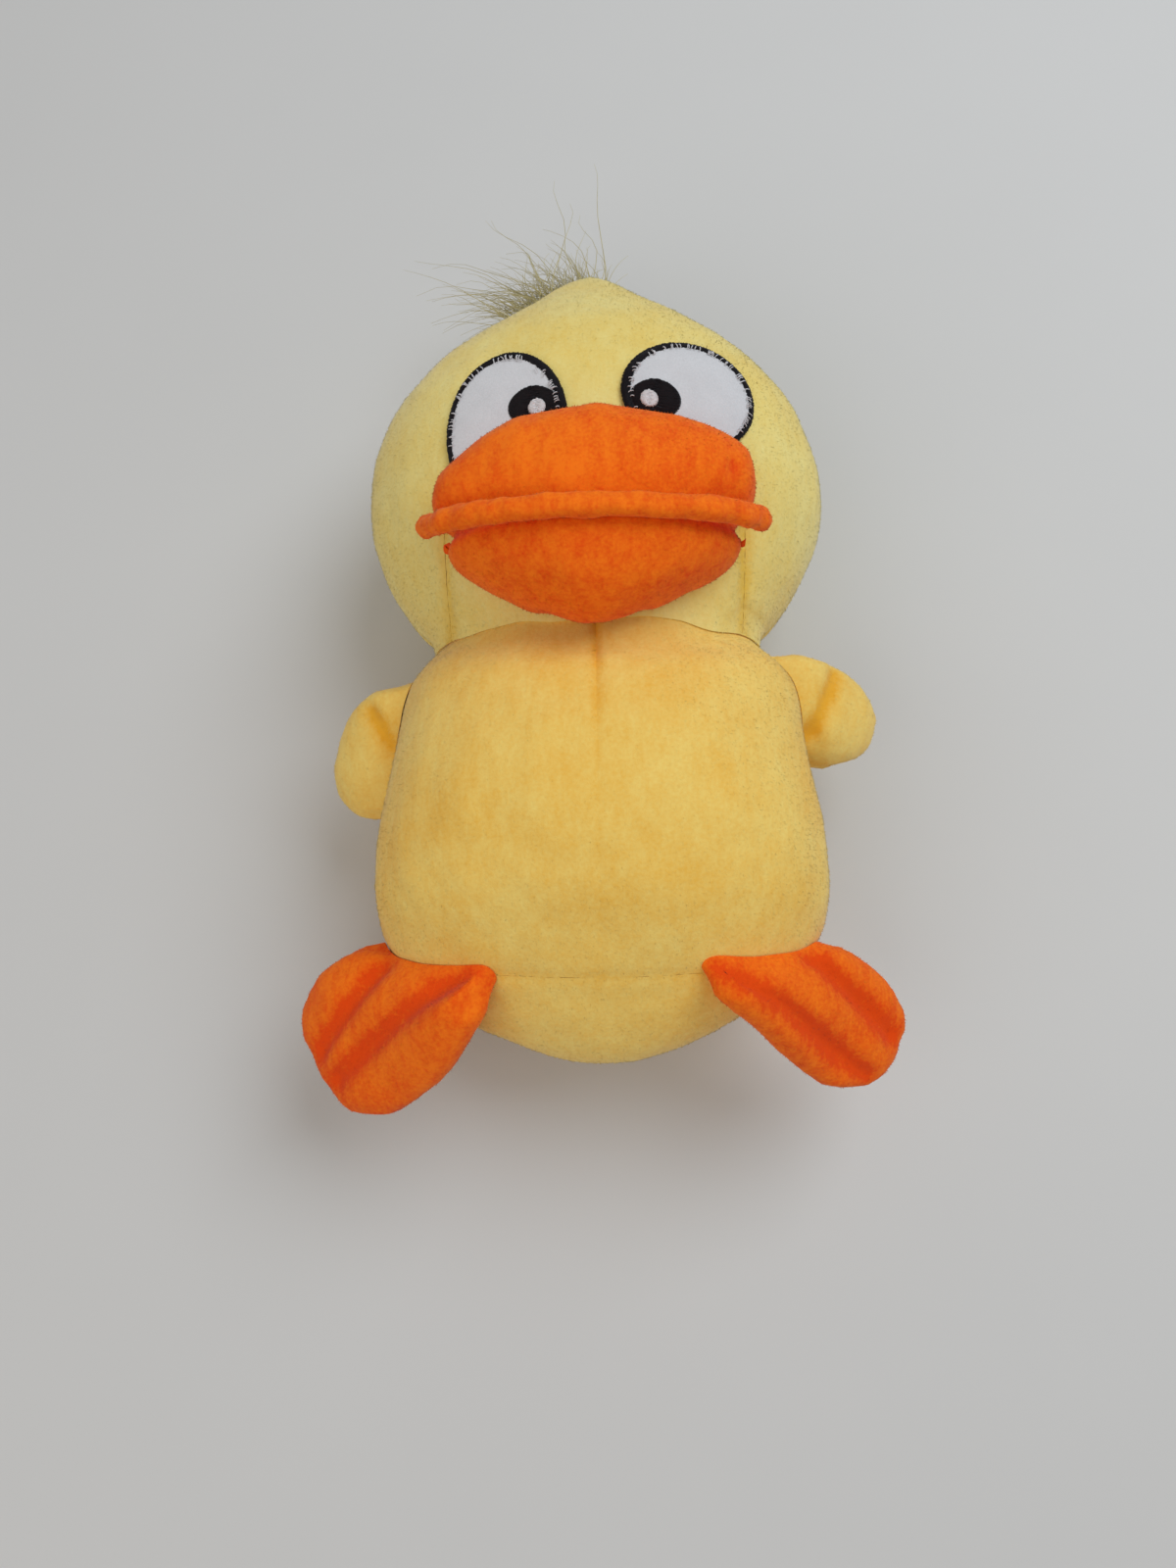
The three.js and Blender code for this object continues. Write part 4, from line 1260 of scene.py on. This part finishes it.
def draw_in(skin, limb, along):
    """Draws a limb's root and the side that faces the torso into the torso, so its seam lies close."""
    places = coordinates(skin)
    height, _, normal = heights_over(surfaces["torso"], places)
    faces_torso = np.einsum("ij,ij->i", normals(skin), normal) < -0.2
    inner = faces_torso & (height < INNER_SIDES[limb.body] * MM)
    at_root = 1 - ramp(along - ROOT_ENDS[limb.body] * MM, 11)
    share = np.where(inner, 1.0, softened(at_root))
    drop = eased(skin, share * np.maximum(height + 3 * MM, 0), 14)
    set_coordinates(skin, places - normal * drop[:, None])


def make_limb(limb, finish, creases, seed):
    """Sews one wing or foot. Each crease gives its distance from a place, its depth and its width."""
    sizes = bpy.context.scene.duck_sizes
    nodes = [*limb.nodes, f"{limb.body}_filling"]

    def held(places):
        return np.where(limb.along(places) < 3 * MM, 0.0, FAR)

    skin = skin_of(f"{limb.body}_skin", nodes, sizes.limb_voxel, 0.6 * sizes.puff, held, 1)
    if limb.body in WING_TOPS:
        set_coordinates(skin, squeezed_top(coordinates(skin), limb.body))
    else:
        set_coordinates(skin, limb.widened(coordinates(skin), FOOT_WIDTHS[limb.body]))
    apply_modifier(skin, "SMOOTH", factor=0.5, iterations=14)
    roughen(skin, ((12, 0.5, seed), (4, 0.15, seed + 1)))
    start = limb.hinge + limb.out * ROOT_ENDS[limb.body] * MM
    cut_along(skin, [(tuple(start / MM), tuple(limb.out))], 0)
    keep_faces(skin, limb.along(face_middles(skin)) > ROOT_ENDS[limb.body] * MM)
    along = limb.along(coordinates(skin))
    if limb.body in FOOT_ROOT_MOVES:
        set_coordinates(skin, seated_on_seam(coordinates(skin), limb))
    draw_in(skin, limb, along)
    end_on_torso(skin, 0.35 * MM, 0.5 * MM, 4, 26)
    places = coordinates(skin)
    for crease in creases:
        press(skin, *crease(places))
    sideways = np.abs(normals(skin) @ limb.facing) < 0.75
    rim = np.where((limb.along(places) > 5 * MM) & sideways, np.abs(limb.above(places)), FAR)
    press(skin, rim, 0.6 * sizes.seam_depth, 0.7 * sizes.seam_width)
    remember_surface(limb.body, skin)
    upper, lower = limb.nodes
    panels = [
        (f"{upper}_cover", upper, lambda p: limb.above(p) > SEAM_HALF_GAP * MM),
        (f"{lower}_cover", lower, lambda p: limb.above(p) < -SEAM_HALF_GAP * MM),
    ]
    planes = [(tuple(limb.facing * limb.parting / MM), tuple(limb.facing))]
    crossing = ("torso", limb.body, tuple(limb.hinge), tuple(limb.hinge + limb.out * LIMB_BLEND * MM))
    sew(skin, planes, panels, crossing, finish, constant_nap(limb.out), seed * 10)


def limb_direction(side, swing, dip):
    """Out from the body, swung from straight sideways towards the feet, and dipped to the floor."""
    return (side * math.cos(swing) * math.cos(dip), -math.sin(swing) * math.cos(dip), -math.sin(dip))


WING_SWINGS = {"left_wing": math.radians(12), "right_wing": math.radians(52)}
WING_DIPS = {"left_wing": math.radians(34), "right_wing": math.radians(30)}
WING_CREASES = {
    "left_wing": [((64.0, 32.3, 48), (60.7, 24.3, 51.2), (55.6, 14.7, 50.4))],
    "right_wing": [((-60.0, 22.5, 53), (-57.4, 18.4, 53.6), (-55.0, 13.7, 48.5))],
}
FOOT_SPLAYS = {"left_foot": math.radians(33), "right_foot": math.radians(32)}
FOOT_DIP = math.radians(26)
TOE_LINES = {
    "left_foot": ((12.0, 14.1), (-3.5, 1.5)),
    "right_foot": ((7.5, -4.5), (-9.0, -12.0)),
}


class DUCK_OT_wings(bpy.types.Operator):
    """Makes both wings, each of an upper and a lower cover, with a crease where the filling stops."""

    bl_idname = "duck.wings"
    bl_label = "Wings"

    def execute(self, context):
        for body, side, seed in (("left_wing", 1, 41), ("right_wing", -1, 44)):
            out = limb_direction(side, WING_SWINGS[body], WING_DIPS[body])
            limb = LimbFrame(body, ("front", "back"), out, 1)
            creases = [
                lambda places, line=line: (to_line(places, line), 1.6 * MM, 2.6 * MM)
                for line in WING_CREASES[body]
            ]
            make_limb(limb, material("yellow pile"), creases, seed)
        return {"FINISHED"}


class DUCK_OT_feet(bpy.types.Operator):
    """Makes both feet, each of an upper cover with two stitched toe lines and a sole."""

    bl_idname = "duck.feet"
    bl_label = "Feet"

    def execute(self, context):
        for body, side, seed in (("left_foot", 1, 51), ("right_foot", -1, 54)):
            out = limb_direction(side, FOOT_SPLAYS[body], FOOT_DIP)
            limb = LimbFrame(body, ("top", "sole"), out, 0.8)
            creases = [
                lambda places, limb=limb, ends=ends: limb.toe_line(places, *ends) for ends in TOE_LINES[body]
            ]
            make_limb(limb, material("orange pile"), creases, seed)
        return {"FINISHED"}


# Eyes


# Half widths and half heights, middles and widths of the eyes' layers, in millimetres, by side
EYE_HALVES = {1: (16.7, 16.7), -1: (15.3, 23.0)}
EYE_MIDDLES = {1: (24.2, 95.3), -1: (-21.1, 86.6)}
EYE_THICK_TOWARDS = {1: (-0.9, 0.2), -1: (0.75, 0.65)}
EYE_RIM_THIN = 1.1
EYE_RIM_THICKER_BY = 1.1
EYE_RIM_STITCHES = 340
PUPIL_HALF = (6.3, 5.6)
PUPIL_MIDDLES = {1: (15.8, 93.0), -1: (-14.4, 91.9)}
GLINT_HALF = (2.1, 2.3)
GLINT_MIDDLES = {1: (14.1, 92.4), -1: (-13.4, 90.9)}
STITCHES_OVER_LAYER = 0.15
STITCH_SPACING = 0.34
BLACK_WORK = ("black thread", "black_embroidery")
WHITE_WORK = ("white thread", "white_felt")
STRAY_FIBRES = 90
STRAY_RADIUS = 0.13
LAYER_RINGS = 10
ABOVE_FACE = 200


def oval(half, middle, steps):
    """Points round an oval seen from the front, in millimetres."""
    angle = np.linspace(0, 2 * math.pi, steps, endpoint=False)
    return np.stack([middle[0] + half[0] * np.cos(angle), middle[1] + half[1] * np.sin(angle)], 1)


def under_eyes(places):
    """Places that the felt of an eye covers."""
    under = np.zeros(len(places), bool)
    for side, middle in EYE_MIDDLES.items():
        offset = places[:, :2] / MM - middle
        inside = ((offset / np.array(EYE_HALVES[side])) ** 2).sum(1) < 1
        under |= inside & (places[:, 2] > 60 * MM)
    return under


def on_head(point, lift):
    """The place on the face under a point seen from the front, lifted off it, all in millimetres."""
    start = Vector((*point, ABOVE_FACE)) * MM
    hit, normal, _, _ = surfaces["head"].ray_cast(start, Vector((0, 0, -1)))
    if hit is None:
        raise RuntimeError(f"no face under {point}")
    return hit + normal * lift * MM


def layer(name, outline, hole, lift, thickness, material_name):
    """A thin layer on the face between two outlines seen from the front; hole may be one point."""
    steps = len(outline)
    points = []
    for share in np.linspace(0, 1, LAYER_RINGS):
        points += [tuple(on_head(point, lift)) for point in hole + (outline - hole) * share]
    faces = []
    for start in range(0, (LAYER_RINGS - 1) * steps, steps):
        for i in range(steps):
            after = (i + 1) % steps
            faces.append((start + i, start + steps + i, start + steps + after, start + after))
    mesh = bpy.data.meshes.new(name)
    mesh.from_pydata(points, [], faces)
    made = placed(name, mesh)
    with editing(made):
        bpy.ops.mesh.remove_doubles(threshold=1e-6)
        bpy.ops.mesh.normals_make_consistent(inside=False)
    if face_directions(made)[:, 2].mean() < 0:
        made.data.flip_normals()
    apply_modifier(made, "SOLIDIFY", thickness=thickness * MM, offset=-1, use_rim=True)
    finish_smooth(made)
    paint(made, material(material_name))
    return made


def thread_radius(share, tapers):
    """How thick a thread is along its length; a stitch is thin at both ends, a hair at its tip."""
    if tapers:
        return 1 - 0.75 * share
    return 0.45 + 0.55 * math.sin(math.pi * (0.12 + 0.76 * share))


def threads(name, lines, radius, material_name, tapers=False):
    """Round threads along lines of points in metres, as one mesh."""
    curve = bpy.data.curves.new(name, "CURVE")
    curve.dimensions = "3D"
    curve.bevel_depth = radius
    curve.bevel_resolution = 0
    curve.use_fill_caps = True
    for line in lines:
        spline = curve.splines.new("POLY")
        spline.points.add(len(line) - 1)
        for i, (point, place) in enumerate(zip(spline.points, line)):
            point.co = (*place, 1)
            point.radius = thread_radius(i / (len(line) - 1), tapers)
    only(placed(name, curve))
    bpy.ops.object.convert(target="MESH")
    made = bpy.context.object
    finish_smooth(made)
    paint(made, material(material_name))
    return made


def stitch(start, end, lift):
    """One stitch between two points seen from the front: it dives into the cloth at both ends."""
    shares = (0, 0.12, 0.5, 0.88, 1)
    lifts = (lift - 0.45, lift, lift + 0.12, lift, lift - 0.45)
    start, end = np.array(start), np.array(end)
    return [on_head(start + (end - start) * share, high) for share, high in zip(shares, lifts)]


def satin_band(inner, outer, lift, slant, rng):
    """Stitches across a band between two outlines, uneven at both ends."""
    count = len(inner)
    lines = []
    for i in range(count):
        start, end = inner[i], outer[(i + slant) % count]
        reach = (end - start) / np.linalg.norm(end - start)
        start = start - reach * rng.uniform(-0.1, 0.45)
        lines.append(stitch(start, end + reach * rng.uniform(-0.1, 0.3), lift))
    return lines


def satin_fill(outline, lift, rng):
    """Level stitches that fill an outline."""
    lines = []
    low, high = outline[:, 1].min(), outline[:, 1].max()
    after = np.roll(outline, -1, 0)
    for y in np.arange(low + STITCH_SPACING / 2, high, STITCH_SPACING):
        crossing = (outline[:, 1] > y) != (after[:, 1] > y)
        share = (y - outline[crossing, 1]) / (after[crossing, 1] - outline[crossing, 1])
        ends = np.sort(outline[crossing, 0] + share * (after[crossing, 0] - outline[crossing, 0]))
        if len(ends) == 2:
            middle = rng.uniform(ends[0] * 0.65 + ends[1] * 0.35, ends[0] * 0.35 + ends[1] * 0.65)
            slope = rng.uniform(-0.1, 0.1)
            lines.append(stitch((ends[0] - 0.15, y - slope), (middle + 0.2, y + slope), lift))
            lines.append(stitch((middle - 0.2, y + slope), (ends[1] + 0.15, y - slope), lift))
    return lines


def stray_fibres(outline, middle, rng):
    """Tufts of the felt's fibres that poke out over the rim here and there."""
    lines = []
    for each in rng.choice(len(outline), STRAY_FIBRES, replace=True):
        outward = (outline[each] - middle) / np.linalg.norm(outline[each] - middle)
        aside = np.array((-outward[1], outward[0])) * rng.normal() * 0.35
        start = outline[each] - outward * 0.8 + aside
        lines.append(stitch(start, start + outward * rng.uniform(0.9, 1.5) + aside, 1.85))
    return lines


def embroidered(name, node, base, stitches):
    """One piece made of a thin layer and the stitches over it."""
    thread_name = base.data.materials[0].name
    radius = bpy.context.scene.duck_sizes.stitch_width / 2
    across = threads(f"{name}_stitches", stitches, radius, thread_name)
    settle(joined(name, [base, across]), [node], "head")


class DUCK_OT_eyes(bpy.types.Operator):
    """Makes the layers of both eyes: white felt, a stitched black rim, a stitched pupil and its glint."""

    bl_idname = "duck.eyes"
    bl_label = "Eyes"

    def execute(self, context):
        rng = np.random.default_rng(61)
        for side, name in ((1, "left"), (-1, "right")):
            middle, half = np.array(EYE_MIDDLES[side], float), np.array(EYE_HALVES[side])
            white = layer(f"{name}_felt_base", oval(half - 0.5, middle, 96), middle, 1.1, 0.9, "white felt")
            outer = oval(half, middle, EYE_RIM_STITCHES)
            outward = (outer - middle) / np.linalg.norm(outer - middle, axis=1, keepdims=True)
            thicker = np.clip(outward @ EYE_THICK_TOWARDS[side], 0, 1)[:, None] ** 1.5
            inner = outer - outward * (EYE_RIM_THIN + EYE_RIM_THICKER_BY * thicker)
            fibres = stray_fibres(inner, middle, rng)
            strays = threads(f"{name}_eye_strays", fibres, STRAY_RADIUS * MM, "white felt")
            white = joined(f"{name}_eye_felt", [white, strays])
            settle(white, [f"{name}_eye_white"], "head")

            rim = f"{name}_eye_outline"
            base = layer(f"{rim}_base", outer, inner, 1.25, 0.5, "black thread")
            stitches = satin_band(inner, outer, 1.25 + STITCHES_OVER_LAYER, 4, rng)
            embroidered(rim, f"{name}_eye_rim", base, stitches)
            for part, node, half, middles, steps, lift, thickness, (thread_name, slot) in (
                ("iris", "pupil", PUPIL_HALF, PUPIL_MIDDLES, 72, 1.35, 0.4, BLACK_WORK),
                ("spark", "glint", GLINT_HALF, GLINT_MIDDLES, 40, 1.8, 0.3, WHITE_WORK),
            ):
                middle = np.array(middles[side], float)
                edge = oval(half, middle, steps)
                base = layer(f"{name}_{node}_base", edge, middle, lift, thickness, thread_name)
                stitches = satin_fill(edge, lift + STITCHES_OVER_LAYER, rng)
                embroidered(f"{name}_eye_{part}", f"{name}_eye_{node}", base, stitches)
        return {"FINISHED"}


# Hair


HAIR_ROOT = (-7.5, 151, 39)
HAIR_ROOT_HALF_WIDTH = 12
HAIR_LEAN = math.radians(36)
HAIR_SPREAD = math.radians(24)
HAIR_FARTHEST = 219
HAIR_RADIUS = 0.14
HAIR_POINTS = 9
HAIR_SHORT, HAIR_LONG, HAIR_LONGEST = (8, 22), (18, 36), (18, 62)
HAIR_SHORT_SHARE, HAIR_LONG_SHARE = 0.6, 0.95
CROWN_FALL = 0.018


class DUCK_OT_hair(bpy.types.Operator):
    """Makes the tuft of long fine hair sewn into the top of the head, fallen back and to one side."""

    bl_idname = "duck.hair"
    bl_label = "Hair"

    def execute(self, context):
        rng = np.random.default_rng(71)
        lines = []
        for _ in range(context.scene.duck_sizes.strands):
            aside = rng.uniform(-1, 1)
            lean = HAIR_LEAN - 0.45 * HAIR_SPREAD * aside + HAIR_SPREAD * rng.normal() * 0.8
            reach = rng.random()
            farther = HAIR_LONG if reach < HAIR_LONG_SHARE else HAIR_LONGEST
            length = rng.uniform(*(HAIR_SHORT if reach < HAIR_SHORT_SHARE else farther))
            out = np.array((-math.sin(lean), math.cos(lean), 0.0))
            side = np.array((out[1], -out[0], 0.0))
            x = HAIR_ROOT[0] + HAIR_ROOT_HALF_WIDTH * aside
            start = np.array((x, HAIR_ROOT[1] - CROWN_FALL * x**2, HAIR_ROOT[2] + rng.uniform(-3, 1.5)))
            rise, bend, wave = rng.uniform(0.0, 0.35), rng.normal() * 0.22, rng.normal() * 0.02
            drop = rng.uniform(0.35, 0.75)
            line = []
            for share in np.linspace(0, 1, HAIR_POINTS):
                swerve = bend * share**2 + wave * math.sin(9 * share)
                place = start + out * length * share + side * length * swerve
                place[2] += length * (rise * share - drop * share**2)
                place[1] = min(place[1], HAIR_FARTHEST)
                place[2] = max(place[2], rng.uniform(0.4, 1.2))
                line.append(place * MM)
            lines.append(line)
        tuft = threads("head_hair", lines, HAIR_RADIUS * MM, "hair", tapers=True)
        settle(tuft, ["hair_tuft"], "head")
        return {"FINISHED"}


# Filling


def tuck_in(piece, cover, room):
    """Moves what comes too near to a cover's outer face, or through it, back inside."""
    for _ in range(2):
        places = coordinates(piece)
        height, near, normal = heights_over(cover, places)
        out = height > -room
        places[out] = near[out] - normal[out] * room
        set_coordinates(piece, places)
        apply_modifier(piece, "SMOOTH", factor=0.3, iterations=1)


class DUCK_OT_filling(bpy.types.Operator):
    """Makes the loose fibre inside each stuffed part."""

    bl_idname = "duck.filling"
    bl_label = "Filling"

    def execute(self, context):
        room = context.scene.duck_sizes.cloth + 0.7 * MM
        for part in ("torso", "neck", "head", "beak", "left_wing", "right_wing", "left_foot", "right_foot"):
            node = f"{part}_filling"
            piece = merged_copy(f"{part}_fibre", [node])
            apply_modifier(piece, "REMESH", mode="VOXEL", voxel_size=3 * MM)
            keep_largest(piece)
            apply_modifier(piece, "SMOOTH", factor=0.5, iterations=4)
            roughen(piece, FIBRE_LUMPS)
            if part in surfaces:
                tuck_in(piece, surfaces[part], room)
            finish_smooth(piece)
            paint(piece, material("fibre"))
            settle(piece, [node], "head" if part == "beak" else part)
        return {"FINISHED"}


# Stage

# The camera, in millimetres, at the photograph's place and angle
CAMERA_PLACE = (3.2, -69, 350)
CAMERA_ACROSS = (0.99959598, -0.01457527, -0.02440169)
CAMERA_UP = (0.01984733, 0.97247354, 0.23216653)
CAMERA_FOCAL = 27.045
SENSOR = 36

# The lights: place, size, watts and colour
LIGHTS = {
    "key": ((0.55, 0.45, 1.0), 0.9, 8, (0.90, 0.96, 1.0)),
    "fill": ((-0.6, -0.6, 0.9), 1.2, 4, (1.0, 0.94, 0.86)),
}
LIT_PLACE = (0, 0.04, 0.05)
ROOM_COLOUR = (1.0, 0.97, 0.9, 1)
ROOM_STRENGTH = 0.31


def soft_light(name, place, size, watts, colour):
    data = bpy.data.lights.new(name, "AREA")
    data.shape = "DISK"
    data.size = size
    data.energy = watts
    data.color = colour
    light = placed(name, data)
    light.location = place
    light.rotation_euler = (Vector(LIT_PLACE) - Vector(place)).to_track_quat("-Z", "Y").to_euler()


class DUCK_OT_stage(bpy.types.Operator):
    """Makes the pale floor, the soft lights and the camera."""

    bl_idname = "duck.stage"
    bl_label = "Floor, light and camera"

    def execute(self, context):
        scene = context.scene
        bpy.ops.object.select_all(action="DESELECT")
        bpy.ops.mesh.primitive_plane_add(size=4)
        floor = context.object
        floor.name = "floor"
        paint(floor, material("floor"))
        for name, settings in LIGHTS.items():
            soft_light(name, *settings)
        world = bpy.data.worlds.new("soft room")
        world.use_nodes = True
        background = world.node_tree.nodes["Background"].inputs
        background["Color"].default_value = ROOM_COLOUR
        background["Strength"].default_value = ROOM_STRENGTH
        scene.world = world
        scene.view_settings.view_transform = "Standard"
        data = bpy.data.cameras.new("camera")
        data.lens = CAMERA_FOCAL
        data.sensor_width = SENSOR
        data.clip_start = 0.01
        camera = placed("camera", data)
        across, up = Vector(CAMERA_ACROSS), Vector(CAMERA_UP)
        turn = Matrix((across, up, across.cross(up))).transposed().to_4x4()
        camera.matrix_world = Matrix.Translation(Vector(CAMERA_PLACE) * MM) @ turn
        scene.camera = camera
        return {"FINISHED"}


STEPS = (
    DUCK_OT_torso,
    DUCK_OT_head,
    DUCK_OT_beak,
    DUCK_OT_wings,
    DUCK_OT_feet,
    DUCK_OT_eyes,
    DUCK_OT_hair,
    DUCK_OT_filling,
    DUCK_OT_stage,
)


class DUCK_PT_panel(bpy.types.Panel):
    """The duck's sizes, colours and steps in the sidebar."""
    bl_label = "Plush duck"
    bl_idname = "DUCK_PT_panel"
    bl_space_type = "VIEW_3D"
    bl_region_type = "UI"
    bl_category = "Duck"

    def draw(self, context):
        for group in (context.scene.duck_sizes, context.scene.duck_colours):
            for name in group.__annotations__:
                self.layout.prop(group, name)
        for step in STEPS:
            self.layout.operator(step.bl_idname)


CLASSES = (DuckSizes, DuckColours, *STEPS, DUCK_PT_panel)


def register():
    for cls in CLASSES:
        bpy.utils.register_class(cls)
    bpy.types.Scene.duck_sizes = PointerProperty(type=DuckSizes)
    bpy.types.Scene.duck_colours = PointerProperty(type=DuckColours)


def unregister():
    del bpy.types.Scene.duck_colours
    del bpy.types.Scene.duck_sizes
    for cls in reversed(CLASSES):
        bpy.utils.unregister_class(cls)


def main():
    register()
    for step in STEPS:
        area, name = step.bl_idname.split(".")
        getattr(getattr(bpy.ops, area), name)()


if __name__ == "__main__":
    main()
